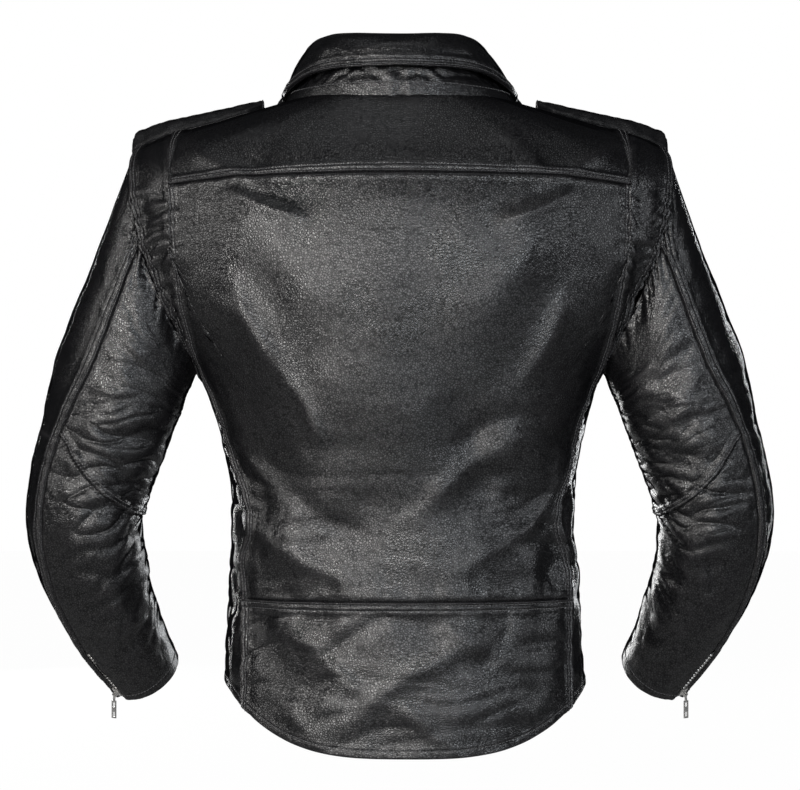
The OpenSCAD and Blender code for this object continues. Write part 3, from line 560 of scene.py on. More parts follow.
def sheet(name, outer, normals, thick, mats):
    """A closed slab from a grid of outer points; the inner side is set in by thick."""
    nu, nv = outer.shape[:2]
    inner = outer - normals * thick
    n = nu * nv
    q = quads(nu, nv)
    e1 = outer[1:, :-1] - outer[:-1, :-1]
    e2 = outer[:-1, 1:] - outer[:-1, :-1]
    facing = (np.cross(e1, e2) * normals[:-1, :-1]).sum(-1).mean()
    top, under = (q, q[:, ::-1] + n) if facing > 0 else (q[:, ::-1], q + n)
    idx = np.arange(n).reshape(nu, nv)
    loop = np.concatenate([idx[:-1, 0], idx[-1, :-1], idx[:0:-1, -1], idx[0, :0:-1]])
    after = np.roll(loop, -1)
    wall = np.stack([loop, loop + n, after + n, after], -1)
    if facing < 0:
        wall = wall[:, ::-1]
    face_mats = np.concatenate([np.zeros(len(top)), np.ones(len(under)), np.zeros(len(wall))])
    return make_mesh(name, np.stack([outer, inner]), [top, under, wall], mats, face_mats)


# ---- materials ----

def node_material(name):
    m = bpy.data.materials.new(name)
    m.use_nodes = True
    return m, m.node_tree, m.node_tree.nodes["Principled BSDF"]


def put(tree, socket, value):
    """Gives an input its value, or links another node's output to it."""
    if isinstance(value, bpy.types.NodeSocket):
        tree.links.new(value, socket)
    else:
        socket.default_value = value


def fill(tree, node, **values):
    """Sets a node's properties and inputs by name."""
    for key, value in values.items():
        if hasattr(node, key):
            setattr(node, key, value)
        else:
            put(tree, node.inputs[key.replace("_", " ")], value)


def add(tree, kind, *inputs, **values):
    """A new node's outputs: inputs fill its first sockets in order, values set the rest by name."""
    node = tree.nodes.new(kind)
    fill(tree, node, **values)
    for socket, value in zip(node.inputs, inputs):
        put(tree, socket, value)
    return node.outputs


def ramp(tree, source, low, high, out_low, out_high):
    return add(tree, "ShaderNodeMapRange", clamp=True, Value=source, From_Min=low, From_Max=high,
               To_Min=out_low, To_Max=out_high)["Result"]


def times_plus(tree, a, factor, b):
    return add(tree, "ShaderNodeMath", a, factor, b, operation="MULTIPLY_ADD")[0]


def shade_mix(tree, factor, a, b):
    return add(tree, "ShaderNodeMix", data_type="RGBA", Factor=factor, A=a, B=b)["Result"]


def leather_material(name, tint, rough, grain_mm=2.4, depth=0.00013):
    m, tree, shader = node_material(name)
    where = add(tree, "ShaderNodeTexCoord")["Object"]
    warp = add(tree, "ShaderNodeTexNoise", Vector=where, Scale=260.0, Detail=2.0)["Color"]
    shift = add(tree, "ShaderNodeVectorMath", warp, (0.0011,) * 3, where, operation="MULTIPLY_ADD")[0]
    cells = add(tree, "ShaderNodeTexVoronoi", feature="DISTANCE_TO_EDGE", Vector=shift,
                Scale=1000 / grain_mm)["Distance"]
    domes = add(tree, "ShaderNodeTexVoronoi", feature="SMOOTH_F1", Vector=shift,
                Scale=1000 / (grain_mm * 1.9), Smoothness=0.6)["Distance"]
    fine = add(tree, "ShaderNodeTexNoise", Vector=where, Scale=2600.0, Detail=3.0)["Fac"]
    broad = add(tree, "ShaderNodeTexNoise", Vector=where, Scale=16.0, Detail=4.0)["Fac"]
    pebble = ramp(tree, cells, 0.0, 0.32, 0.0, 1.0)
    grain = times_plus(tree, fine, 0.3, times_plus(tree, domes, -0.4, pebble))
    bump = add(tree, "ShaderNodeBump", Strength=1.0, Distance=depth, Height=grain)["Normal"]
    # Light catches the crowns of the grain, not its valleys, and edges seen on the slant don't glare
    facing = add(tree, "ShaderNodeLayerWeight", Blend=0.5)["Facing"]
    glance = add(tree, "ShaderNodeMath", ramp(tree, grain, -0.15, 0.95, 0.16, 0.88),
                 ramp(tree, facing, 0.38, 0.74, 1.0, 0.0), operation="MULTIPLY")[0]
    # The valleys of the grain are painted darker, as painted shade, and convex ridges are painted a little
    # lighter, as a painted highlight
    # Painted highlight: convex ridges and fold edges get a lighter base colour
    ridge_highlight_mask = ramp(tree, add(tree, "ShaderNodeNewGeometry")["Pointiness"], 0.5, 0.56, 0.0, 1.0)
    # Painted shade: the base colour drops to 0.45 of the tint in the grain's valleys
    dark = shade_mix(tree, pebble, (*(0.45 * c for c in tint), 1), (*tint, 1))
    ridge_highlight_tint = (tint[0] * 2.4, tint[1] * 2.3, tint[2] * 2.2, 1)
    fill(tree, shader, Normal=bump, Roughness=ramp(tree, broad, 0.3, 0.7, rough - 0.05, rough + 0.07),
         Specular_IOR_Level=glance, Base_Color=shade_mix(tree, ridge_highlight_mask, dark, ridge_highlight_tint))
    return m


def plain_material(name, color, rough, metal=0.0, sheen=0.0, weave=0.0, depth=0.0001):
    m, tree, shader = node_material(name)
    fill(tree, shader, Base_Color=(*color, 1), Roughness=rough, Metallic=metal, Sheen_Weight=sheen)
    if weave:
        where = add(tree, "ShaderNodeTexCoord")["Object"]
        woven = add(tree, "ShaderNodeTexNoise", Vector=where, Scale=weave, Detail=2.0)["Fac"]
        bump = add(tree, "ShaderNodeBump", Strength=0.6, Distance=depth, Height=woven)["Normal"]
        mottled = ramp(tree, woven, 0.3, 0.7, rough - 0.06, rough + 0.06)
        fill(tree, shader, Normal=bump, Roughness=mottled)
    return m


LEATHER = leather_material("jacket_leather", (0.0062, 0.0062, 0.0070), 0.27)
TRIM = leather_material("trim_leather", (0.007, 0.007, 0.0078), 0.34, grain_mm=1.7, depth=0.0001)
SUEDE = plain_material("leather_back", (0.03, 0.028, 0.027), 0.9, sheen=0.3, weave=900.0)
SATIN = plain_material("satin_lining", (0.012, 0.012, 0.015), 0.36, sheen=0.25, weave=700.0, depth=0.00005)
THREAD = plain_material("black_thread", (0.045, 0.045, 0.048), 0.4, sheen=0.25)
TAPE = plain_material("zip_tape", (0.012, 0.012, 0.013), 0.8, sheen=0.2, weave=1500.0)
GUNMETAL = plain_material("dark_snaps", (0.035, 0.035, 0.037), 0.35, metal=1.0, weave=420.0, depth=0.00002)
NICKEL = plain_material("polished_nickel", (0.78, 0.77, 0.75), 0.42, metal=1.0, weave=420.0, depth=0.00002)
FINISHES = {    # the outer and the inner material, and the material slot
    "hide": ((LEATHER, SUEDE), "shell_leather"),
    "folded": ((LEATHER, LEATHER), "shell_leather"),
    "trim": ((TRIM, TRIM), "trim_leather"),
    "cloth": ((SATIN, SATIN), "lining_cloth"),
}


# ---- stitches and panels ----

PITCH = 3.5
STITCH_RISE = 0.22
BEAD_RING = 6
BEAD_STATIONS = [(-1.5, 0.12, -0.3), (-1.1, 0.34, 0.0), (0.0, 0.44, 0.12), (1.1, 0.34, 0.0), (1.5, 0.12, -0.3)]


def fit(piece, slot, rider, node=None):
    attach(piece, rider)
    if node:
        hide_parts(node)


class Threads:
    """Collects stitches and makes one piece of them."""

    def __init__(self):
        self.points, self.shares = [], []

    def row(self, points, normals, share=None):
        """One row of stitches along a polyline of points, sunk into the leather."""
        step = np.linalg.norm(np.diff(points, axis=0), axis=-1)
        total = np.concatenate([[0], np.cumsum(step)])
        n = int(total[-1] / PITCH)
        if n < 2:
            return
        at = (np.arange(n) + 0.5) * total[-1] / n

        def along_row(values, where):
            return np.stack([np.interp(where, total, values[:, k]) for k in range(3)], -1)

        p, nrm = along_row(points, at), unit(along_row(normals, at))
        ahead = along_row(points, at + 0.6) - along_row(points, at - 0.6)
        x = unit(ahead - nrm * (ahead * nrm).sum(-1, keepdims=True))
        y = np.cross(nrm, x)
        ang = np.arange(BEAD_RING)[:, None] * 2 * np.pi / BEAD_RING
        ring = y[:, None] * np.cos(ang) + nrm[:, None] * np.sin(ang)
        self.points.append(np.concatenate([
            p[:, None] + x[:, None] * along + nrm[:, None] * rise + radius * ring
            for along, radius, rise in BEAD_STATIONS], 1))
        sh = np.zeros(n) if share is None else np.interp(at, total, share)
        self.shares.append(np.repeat(sh[:, None], len(BEAD_STATIONS) * BEAD_RING, axis=1))

    def make(self, name):
        """The piece, and the share of each of its vertices."""
        points = np.concatenate(self.points)
        piece = make_mesh(name, points, tube_faces(len(BEAD_STATIONS), BEAD_RING, len(points)), [THREAD])
        return piece, np.concatenate(self.shares).ravel()


def stitch(threads, patch, edges, distances=STITCH_AT, span=(0.0, 1.0), share_of=None):
    """Rows of stitches along edges of a patch."""
    for edge in edges:
        for d in distances:
            q = np.linspace(*span, 160)
            if edge in (LEFT, RIGHT):
                u = d / patch.width(q)
                u, v = (u if edge == LEFT else 1 - u), q
            else:
                v = d / patch.height(q)
                u, v = q, (v if edge == BOTTOM else 1 - v)
            p, n = patch.point(u, v, STITCH_RISE)
            threads.row(p, n, None if share_of is None else share_of(*patch.place(u, v)))


def panel(name, patch, node, finish="hide", rider="torso"):
    mats, slot = FINISHES[finish]
    fit(sheet(name, *patch.point(*patch.grid()), patch.thick, mats), slot, rider, node)


def window(a0, a1, b0, b1):
    """Places a patch evenly over a window of its surface's two parameters."""
    return lambda u, v: (lerp(a0, a1, u), lerp(b0, b1, v))


def flat_relief(a, b):
    return 0 * a


def soft_relief(scale, cell, height):
    return lambda a, b: height * noise(a / scale, b * cell, 31.0)


# ---- the leather's large folds, found by draping low-resolution cloth ----

def drape(name, rest_points, growth, held, normals, closed, bending, frames=36):
    """Lets a sheet that is cut too large buckle between the places where it is held, and gives how far each
    point moved along its normal."""
    nu, nv = rest_points.shape[:2]
    points = rest_points.reshape(-1, 3) * MM
    q = quads(nu, nv)
    if closed:
        j = np.arange(nv - 1)
        last = (nu - 1) * nv + j
        q = np.concatenate([q, np.stack([last, j, j + 1, last + 1], -1)])
    mesh = bpy.data.meshes.new(name)
    mesh.from_pydata(points.tolist(), [], q.tolist())
    draped = bpy.data.objects.new(name, mesh)
    ROOT.objects.link(draped)
    group = draped.vertex_groups.new(name="held")
    for i, w in enumerate(held.ravel()):
        group.add([i], float(w), "REPLACE")
    cloth = draped.modifiers.new("drape", "CLOTH")
    s = cloth.settings
    s.quality = 5
    s.mass = 0.25
    s.tension_stiffness = s.compression_stiffness = 30
    s.shear_stiffness = 12
    s.bending_stiffness = bending
    s.air_damping = 4
    s.shrink_min = -growth
    s.vertex_group_mass = "held"
    s.pin_stiffness = 1.0
    s.effector_weights.gravity = 0.1
    cloth.collision_settings.use_collision = False
    cloth.point_cache.frame_end = frames
    scene = bpy.context.scene
    for k in range(1, frames + 1):
        scene.frame_set(k)
    found = draped.evaluated_get(bpy.context.evaluated_depsgraph_get())
    moved = np.empty(len(points) * 3)
    found.data.vertices.foreach_get("co", moved)
    moved = (moved.reshape(-1, 3) - points) / MM
    bpy.data.objects.remove(draped)
    scene.frame_set(1)
    h = (moved.reshape(nu, nv, 3) * normals).sum(-1)
    # Only the folds are kept: the sheet's overall swelling is taken out
    broad = h
    for _ in range(14):
        wide = np.pad(broad, ((1, 1), (0, 0)), mode="wrap" if closed else "edge")
        broad = (wide[:-2] + 2 * broad + wide[2:]) / 4
        wide = np.pad(broad, ((0, 0), (1, 1)), mode="edge")
        broad = (wide[:, :-2] + 2 * broad + wide[:, 2:]) / 4
    return h - broad


class Field:
    """Smooth lookup of a height on an even grid over (a0..a1) x (b0..b1)."""

    def __init__(self, values, a0, a1, b0, b1, closed=False):
        self.v, self.a0, self.a1, self.b0, self.b1, self.closed = values, a0, a1, b0, b1, closed

    def __call__(self, a, b):
        nu, nv = self.v.shape
        span = nu if self.closed else nu - 1
        x = (np.asarray(a, float) - self.a0) / (self.a1 - self.a0) * span
        y = np.clip((np.asarray(b, float) - self.b0) / (self.b1 - self.b0), 0, 1) * (nv - 1)
        x = np.mod(x, nu) if self.closed else np.clip(x, 0, nu - 1)
        i, j = np.floor(x).astype(int), np.floor(y).astype(int)
        total = 0
        for di, wx in zip((-1, 0, 1, 2), spline(x - i)):
            ii = (i + di) % nu if self.closed else np.clip(i + di, 0, nu - 1)
            for dj, wy in zip((-1, 0, 1, 2), spline(y - j)):
                total = total + wx * wy * self.v[ii, np.clip(j + dj, 0, nv - 1)]
        return total


def spline(f):
    return (1 - f) ** 3 / 6, (3 * f**3 - 6 * f**2 + 4) / 6, (-3 * f**3 + 3 * f**2 + 3 * f + 1) / 6, f**3 / 6


def drape_body():
    a0, a1, b0, b1 = -126.0, 126.0, 0.0, 0.8
    a, b = np.meshgrid(np.linspace(a0, a1, 66), np.linspace(b0, b1, 50), indexing="ij")
    p = body(a, b)
    n = normal(body, a, np.clip(b, 0.006, 1))
    z = p[..., 2]
    edge = np.abs(np.abs(a) - back_edge(b)) * 3.2
    held = 0.12 + 0.4 * bell(edge, 0, 9) + 0.35 * bell(z, -489, 10)
    held = np.maximum(held, smooth(b, 0.70, 0.79) + smooth(np.abs(a), 108, 122))
    held = np.maximum(held, 0.4 * (1 - smooth(b, 0.0, 0.03)))
    jig = 0.8 * noise(a / 9, b * 22, 91.0)
    h = drape("body_drape", p + n * jig[..., None], 0.05, np.clip(held, 0, 1), n, False, 8.0)
    return Field(np.clip(h, -9, 9), a0, a1, b0, b1)


def drape_sleeve(side):
    a, b = np.meshgrid(np.arange(40) * 9.0, np.linspace(0.0, 1.0, 58), indexing="ij")
    p = arm(a, b)
    n = normal(arm, a, np.clip(b, 0.006, 0.996))
    inside = smooth(-np.cos(np.radians(a)), -0.7, 0.5)
    seam = np.abs(a - curve(OUTER_SEAM, b))
    held = 0.12 + 0.25 * (1 - inside) + 0.35 * bell(seam, 0, 9)
    held = np.maximum(held, 1 - smooth(b, 0.0, 0.05) + smooth(b, 0.95, 1.0))
    jig = 0.8 * noise(3 * np.cos(np.radians(a)), 3 * np.sin(np.radians(a)), b * 18 + 95.0 + 9 * side)
    h = drape("sleeve_drape", p + n * jig[..., None], 0.06, np.clip(held, 0, 1), n, True, 3.0)
    return Field(np.clip(h, -8, 8), 0.0, 360.0, 0.0, 1.0, closed=True)


FOLDS["body"] = drape_body()
FOLDS[1] = drape_sleeve(1)
FOLDS[-1] = drape_sleeve(-1)

# ---- the torso ----

PHIS = np.linspace(-104, 104, 417)
YOKE_LOW = yoke_low_t(PHIS)
LOW_SEAM = level_at_z(PHIS, -489.0)


def yoke_seam_t(phi):
    return np.interp(phi, PHIS, YOKE_LOW)


def low_seam_t(phi):
    return np.interp(phi, PHIS, LOW_SEAM)


def between(low, high):
    """Places a back panel between two levels and its two side edges."""
    def place(u, v):
        t = lerp(low(0 * u), high(0 * u), v)
        for _ in range(6):
            e = back_edge(t)
            phi = lerp(-e, e, u)
            t = lerp(low(phi), high(phi), v)
        return phi, t
    return place


def pick(cond, a, b):
    return np.where(cond, a[0], b[0]), np.where(cond, a[1], b[1])


def line(p, q, u):
    return lerp(p[0], q[0], u), lerp(p[1], q[1], u)


def yoke_place(u, v):
    phi = lerp(-SHOULDER_PHI, SHOULDER_PHI, u)
    return phi, lerp(yoke_seam_t(phi), 1.0, v)


def pleat_place(side):
    def place(u, v):
        t = lerp(SIDE_LOW_T, YOKE_CORNER_T, v / 0.6)
        phi = lerp(YOKE_CORNER, SHOULDER_PHI, (v - 0.6) / 0.4)
        inner = pick(v < 0.6, (back_edge(t), t), (phi, yoke_seam_t(np.maximum(phi, YOKE_CORNER))))
        outer = armhole(lerp(SIDE_HIGH_PSI, -15, v))
        p = line(inner, outer, u)
        return side * p[0], p[1]
    return place


def coons(bottom, top, left, right, side):
    def place(u, v):
        b, t, l, r = bottom(u), top(u), left(v), right(v)
        c = [f(k + 0 * u) for f, k in ((bottom, 0), (bottom, 1), (top, 0), (top, 1))]
        out = [lerp(b[i], t[i], v) + lerp(l[i], r[i], u)
               - lerp(lerp(c[0][i], c[1][i], u), lerp(c[2][i], c[3][i], u), v) for i in (0, 1)]
        return side * out[0], out[1]
    return place


ARMHOLE_FRONT = armhole(FRONT_SEAM_PSI)
SIDE_LOW = (float(back_edge(SIDE_LOW_T)), SIDE_LOW_T)


def side_place(side):
    return coons(
        lambda u: line((float(back_edge(0.0)), 0.0), (125.0, 0.0), u),
        lambda u: pick(u < 0.2, line(SIDE_LOW, armhole(SIDE_HIGH_PSI), u / 0.2),
                       armhole(lerp(SIDE_HIGH_PSI, FRONT_SEAM_PSI, (u - 0.2) / 0.8))),
        lambda v: (back_edge(SIDE_LOW_T * v), SIDE_LOW_T * v),
        lambda v: (front_seam_phi(ARMHOLE_FRONT[1] * v), ARMHOLE_FRONT[1] * v), side)


def front_place(side):
    def left(v):
        t = ARMHOLE_FRONT[1] * v / 0.5
        return pick(v < 0.5, (front_seam_phi(t), t), armhole(lerp(FRONT_SEAM_PSI, 345, (v - 0.5) / 0.5)))
    return coons(
        lambda u: line((125.0, 0.0), (float(edge_phi(0.0, side)), 0.0), u),
        lambda u: pick(u < 0.75, line(armhole(345), (SHOULDER_PHI, 1.0), u / 0.75),
                       line((SHOULDER_PHI, 1.0), (NECK_PHI, 1.0), (u - 0.75) / 0.25)),
        left, lambda v: (edge_phi(v, side), v), side)


class ZipFrame:
    """A zip's own frame: x along it, z outwards."""

    def __init__(self, p0, p1, out):
        self.o = np.array(p0, float)
        self.length = float(np.linalg.norm(np.subtract(p1, p0)))
        self.x = (np.asarray(p1, float) - self.o) / self.length
        n = out - self.x * np.dot(out, self.x)
        self.n = n / np.linalg.norm(n)
        self.y = np.cross(self.n, self.x)

    def at(self, x, y, z):
        x, y, z = np.broadcast_arrays(*(np.asarray(c, float) for c in (x, y, z)))
        return self.o + x[..., None] * self.x + y[..., None] * self.y + z[..., None] * self.n

    def local(self, p):
        d = p - self.o
        return d @ self.x, d @ self.y, d @ self.n

    def mirrored(self):
        z = ZipFrame.__new__(ZipFrame)
        m = np.array([-1.0, 1, 1])
        z.o, z.length, z.x, z.y, z.n = self.o * m, self.length, self.x * m, self.y * m, self.n * m
        return z


def lifted(surf, a, b, off):
    a, b = np.float64(a), np.float64(b)
    return surf(a, b) + normal(surf, a, b) * off


def pocket_frame(ends):
    p = [lifted(body, a, b, -4.4) for a, b in ends]
    mid = (np.mean([e[0] for e in ends]), np.mean([e[1] for e in ends]))
    return ZipFrame(p[0], p[1], normal(body, np.float64(mid[0]), np.float64(mid[1])))


def front_end(t):
    return lifted(body, front_phi(np.float64(zip_x(t)), t), t, -3.4)


LEFT_POCKET = pocket_frame(HAND_POCKET)
RIGHT_POCKET = LEFT_POCKET.mirrored()
CHEST = pocket_frame(CHEST_POCKET)
FRONT_ZIP = ZipFrame(front_end(0.012), front_end(BREAK_T),
                     normal(body, front_phi(np.float64(zip_x(0.2)), 0.2), np.float64(0.2)))


def slots(frames):
    """Sinks the leather under each pocket zip, hidden beneath the welts."""
    def detail(a, b):
        p = body(a, b)
        total = 0 * a
        for f in frames:
            x, y, z = f.local(p)
            across = 1 - smooth(np.abs(y), 9.4, 11.6)
            along = 1 - smooth(np.abs(x - f.length / 2), f.length / 2 + 1, f.length / 2 + 4)
            total = total - 7.5 * across * along * (z > -30)
        return total
    return detail


yoke = Patch(yoke_place, body, body_relief, (OVER, OVER, OVER, PLAIN), seed=1.0)
back = Patch(between(low_seam_t, yoke_seam_t), body, body_relief, (OVER, OVER, UNDER, UNDER), seed=2.0)
low = Patch(between(lambda p: 0 * p, low_seam_t), body, body_relief, (OVER, OVER, TURNED, OVER), seed=3.0)
back_threads = Threads()
front_threads = Threads()

panel("yoke", yoke, "back_yoke")
panel("middle_back", back, "back_panel")
panel("lower_back", low, "lower_back_panel")
stitch(back_threads, yoke, (LEFT, RIGHT, BOTTOM))
stitch(back_threads, back, (LEFT, RIGHT))
stitch(back_threads, low, (LEFT, RIGHT, TOP))
stitch(back_threads, low, (BOTTOM,), HEM_STITCH)

SIDES = (("left", 1), ("right", -1))
for name, side in SIDES:
    pockets = [LEFT_POCKET, CHEST] if side > 0 else [RIGHT_POCKET]
    pleat = Patch(pleat_place(side), body, body_relief, (UNDER, OVER, PLAIN, PLAIN), seed=4.0 + side)
    flank = Patch(side_place(side), body, body_relief, (UNDER, UNDER, TURNED, OVER), seed=8.0 + side)
    front = Patch(front_place(side), body, body_relief, (OVER, TURNED, TURNED, UNDER), seed=12.0 + side,
                  step=3.4, detail=slots(pockets))
    panel(f"{name}_pleat", pleat, f"{name}_back_pleat")
    panel(f"{name}_flank", flank, f"{name}_side_panel")
    panel(f"{name}_front", front, f"{name}_front_panel")
    stitch(back_threads, pleat, (RIGHT,))
    stitch(front_threads, flank, (TOP,), span=(0.2, 1.0))
    stitch(front_threads, flank, (BOTTOM,), HEM_STITCH)
    stitch(front_threads, front, (LEFT,))
    stitch(front_threads, front, (RIGHT, BOTTOM), HEM_STITCH)

# ---- collar ----

LEAF_LAND = [(0, 0.4), (55, 0.3), (76, 0.12), (90, 0.02), (104, -0.02), (118, -0.05)]


def ring(phi):
    p = np.radians(phi)
    return np.stack([np.sin(p), np.cos(p), 0 * p], -1)


def stand_at(phi, h):
    c = np.cos(np.radians(phi))
    s = np.sin(np.radians(phi))
    rise = 53 * (1 - 0.1 * s**2 - 1.5 * np.maximum(0, -c))
    p = body(phi, 0.992 + 0 * phi)
    lean = 18 * np.sin(np.pi / 2 * h)
    hug = 1 - 0.06 * smooth(h, 0, 0.5)
    rise = rise + 5 * np.sin(2 * np.radians(np.minimum(np.abs(phi), 90))) ** 2
    return np.stack([p[..., 0] * hug - lean * s + 4 * h, BODY_Y + (p[..., 1] - BODY_Y) * (1 - 0.06 * h) + 2,
                     p[..., 2] + 4 + (rise - 4) * h], -1)


def leaf_edge(phi):
    g = curve(LEAF_LAND, np.abs(phi))[..., None]
    at_back = np.maximum(0, 1 - np.abs(phi) / 80)[..., None]
    at_front = np.maximum(0, np.abs(phi) - 90) / (118 - 90)
    high = stand_at(phi, g[..., 0]) + ring(phi) * (3.5 + 10.5 * at_back)
    wide, level = phi * (1 + 0.14 * at_front), 0.99 + np.minimum(g[..., 0], 0)
    return np.where(g > 0, high, body(wide, level) + normal(body, wide, level) * 5)


def leaf_at(phi, h):
    """From the free edge (h 0) over the fold (1) and down the inside of the stand."""
    phi, h = np.broadcast_arrays(np.asarray(phi, float), np.asarray(h, float))
    fold = stand_at(phi, 1 + 0 * h) + ring(phi) * 1.5 + np.array([0, 0, 2.0])
    k = np.minimum(h, 1)[..., None]
    bulge = 7 * (1 - 0.7 * np.sin(np.radians(phi))[..., None] ** 2)
    out = lerp(leaf_edge(phi), fold, k) + (ring(phi) + [0, 0, 0.3]) * bulge * np.sin(np.pi * k)
    w = np.maximum(h - 1, 0)
    inside = stand_at(phi, np.clip(1 - w, 0, 1)) - ring(phi) * 4.2
    turn = smooth(w, 0, 0.14)[..., None]
    return lerp(out, inside, turn) + np.array([0, 0, 1.6]) * np.sin(np.pi * turn)


def band_relief(a, b):
    """The band is wrinkled where the leaf pushes it down, with a seam and its stitches above the neck."""
    h = 2.4 * crease(noise(a / 10, b * 4, 33.0), 0.3) + 0.9 * noise(a / 5, b * 8, 35.0)
    return h * smooth(b, 0.05, 0.3)


leaf = Patch(window(-118.0, 118.0, 0, 1.34), leaf_at, soft_relief(17, 4.0, 0.8), (TURNED, TURNED, OVER, PLAIN),
             seed=20.0, thick=2.2, lift=2.2, step=2.6)
stand = Patch(window(-117.0, 117.0, -0.28, 1.0), stand_at, band_relief, (FREE, FREE, PLAIN, PLAIN), seed=23.0,
              lift=0.4, step=2.6, detail=lambda a, b: 0.5 * bell(np.abs(a), 2.6, 1.4) - 0.9 * bell(a, 0, 0.9))
facing = Patch(window(-50.0, 50.0, 0.955, 0.985), body, flat_relief, (FREE,) * 4, lift=-3.4, thick=1.4)
panel("collar_fall", leaf, "collar_leaf", "folded")
panel("collar_band", stand, "collar_stand", "folded")
panel("neck_band", facing, "neck_facing", "trim")
stitch(front_threads, leaf, (BOTTOM,))
stitch(front_threads, leaf, (LEFT, RIGHT), HEM_STITCH)
stitch(front_threads, stand, (BOTTOM,), (19.0,))
stitch(front_threads, facing, (BOTTOM,), (3.4,))

# ---- lapels ----

LAPEL_WIDTH = [(0, 1), (.3, 12), (.6, 21), (.85, 27), (1, 20)]


def lapel_place(side):
    def place(u, v):
        t = lerp(BREAK_T + 0.02, 0.9, v) - 0.03 * u * v
        return side * (edge_phi(t, side) + 0.2 - (1 - u) * (curve(LAPEL_WIDTH, v) + 1.2)), t
    return place


def lapel_relief(side):
    spot = body(np.float64(edge_phi(0.62, side)), np.float64(0.62))

    def relief(a, b):
        away = np.linalg.norm(body(a, b) - spot, axis=-1)
        return 0.3 * body_relief(a, b) * smooth(away, 12, 40)
    return relief


for name, side in SIDES:
    lapel = Patch(lapel_place(side), body, lapel_relief(side), (TURNED, ROLL, FREE, TURNED), seed=30.0 + side,
                  lift=4.4, thick=2.2, step=2.8)
    panel(f"{name}_revers", lapel, f"{name}_lapel", "folded")
    stitch(front_threads, lapel, (LEFT,), HEM_STITCH)
    stitch(front_threads, lapel, (TOP,), HEM_STITCH, span=(0.1, 0.9))

# ---- shoulder straps ----

STRAP_INNER, STRAP_OUTER = 138.0, 266.0     # the table of shoulder heights reaches from x to x
STRAP_REACH = 30.0                          # and this far to the front and the back
STRAP_ROLL = 9.0                            # radius of the turn over the sleeve's seam


def shoulder_height(x, y):
    """The height of the shoulder's surface over a point of the plan."""
    depth = lambda t: np.where(y > 0, curve(BACK_Y, t), curve(FRONT_Y, t))
    t = halve(lambda m: (x / curve(SIDE_X, m)) ** CORNER + (np.abs(y) / depth(m)) ** CORNER - 1,
              0.8 + 0 * x, 1 + 0 * x)
    phi = phi_at_x(x, t)
    return body(np.where(y > 0, phi, 180 - phi), t)[..., 2]


PLAN = np.meshgrid(np.linspace(STRAP_OUTER, STRAP_INNER, 41), np.linspace(-STRAP_REACH, STRAP_REACH, 21),
                   indexing="ij")
SHOULDER = Field(shoulder_height(*PLAN), STRAP_OUTER, STRAP_INNER, -STRAP_REACH, STRAP_REACH)


def strap_half(u):
    return np.where(u < 0.86, 25 - 4 * u, 21.6 * (1 - (u - 0.86) / 0.15))


def strap_at(percent, u):
    """percent runs across from -100 to 100, u from the sewn end (0) to the point (1); below 0 it rolls over."""
    w, uc = percent / 100, np.clip(u, 0, 1)
    x, y = lerp(264.0, 140.0, uc), 2 + w * strap_half(uc)
    arch = (16 - 7 * uc) * (1 - np.abs(w) ** 3.4)
    z = SHOULDER(x, y) + 1.0 + arch
    turn = np.clip(-u / 0.09, 0, 1) * np.pi / 2
    drop = STRAP_ROLL * (1 - np.cos(turn)) * (1.2 - 0.2 * w * w)
    return np.stack([x - 2.5 + STRAP_ROLL * np.sin(turn), BODY_Y + y, z - drop], -1)


for name, side in SIDES:
    top = Patch(window(100.0, -100.0, -0.09, 0.985), strap_at, soft_relief(46, 9.0, 1.6),
                (TURNED, TURNED, FREE, FREE), seed=40 + side, lift=2.9, thick=2.2, step=2.6, flip=side < 0)
    under = Patch(window(103.0, -103.0, -0.08, 0.98), strap_at, soft_relief(30, 12.0, 1.0), (FREE,) * 4,
                  seed=44 + side, lift=0.6, thick=1.1, step=2.6, flip=side < 0)
    strap = f"{name}_epaulette"
    panel(f"{name}_strap", top, strap, "folded", strap)
    panel(f"{name}_strap_backing", under, strap, "trim", strap)
    threads = Threads()
    stitch(threads, top, (LEFT, RIGHT), (3.0, 8.0))
    fit(threads.make(f"{name}_strap_stitches")[0], "shell_leather", strap)

# ---- linings ----

def cloth_relief(a, b):
    return 1.6 * noise(a / 14, b * 16, 60.0) + 1.0 * crease(noise(a / 9, b * 40, 66.0), 0.4)


def back_lining_place(u, v):
    t = lerp(0.03, 0.95, v)
    upper = np.where(t < 0.86, 62.0, lerp(62.0, 92.0, (t - 0.86) / 0.14))
    e = np.where(t < 0.5, lerp(104.0, 66.0, t / 0.5), upper)
    return lerp(-e, e, u), t


def inset(place, margin=0.035):
    return lambda u, v: place(lerp(margin, 1 - margin, u), lerp(margin, 1 - margin, v))


def lining(name, place, node, relief=cloth_relief, **values):
    panel(name, Patch(place, body, relief, (PLAIN,) * 4, **values), node, "cloth")


lining("back_cloth", back_lining_place, "back_lining", step=6.0, lift=-9.6, thick=0.8)
for name, side in SIDES:
    lining(f"{name}_front_cloth", inset(front_place(side)), f"{name}_front_lining", step=6.0, lift=-10.4,
           thick=0.8)
BAGS = ((128.0, 156.0, 0.06, 0.34), (-128.0, -156.0, 0.06, 0.34), (122.0, 148.0, 0.42, 0.66))
for i, extent in enumerate(BAGS):
    lining(f"pocket_bag_{i + 1}", window(*extent), "pocket_bags", flat_relief, step=8.0, lift=-8.0, thick=0.6)

# ---- sleeves ----

SPLIT = 0.46            # the sleeve's pieces part here, where the shares give the whole girth to the upper arm
SHOULDER_SHARE = (0.02, 0.42)
ELBOW_SHARE = (0.52, 0.80)
ZIP_GAP = 5.2
SLEEVE_LENGTH = 520.0
ELBOW_LINE = [(45, .435), (57, .447), (90, .515), (150, .59), (238, .61)]


def shoulder_share(psi, q):
    s = sleeve_s(psi, np.maximum(q, 0))
    return np.clip((s - SHOULDER_SHARE[0]) / (SHOULDER_SHARE[1] - SHOULDER_SHARE[0]), 0, 1)


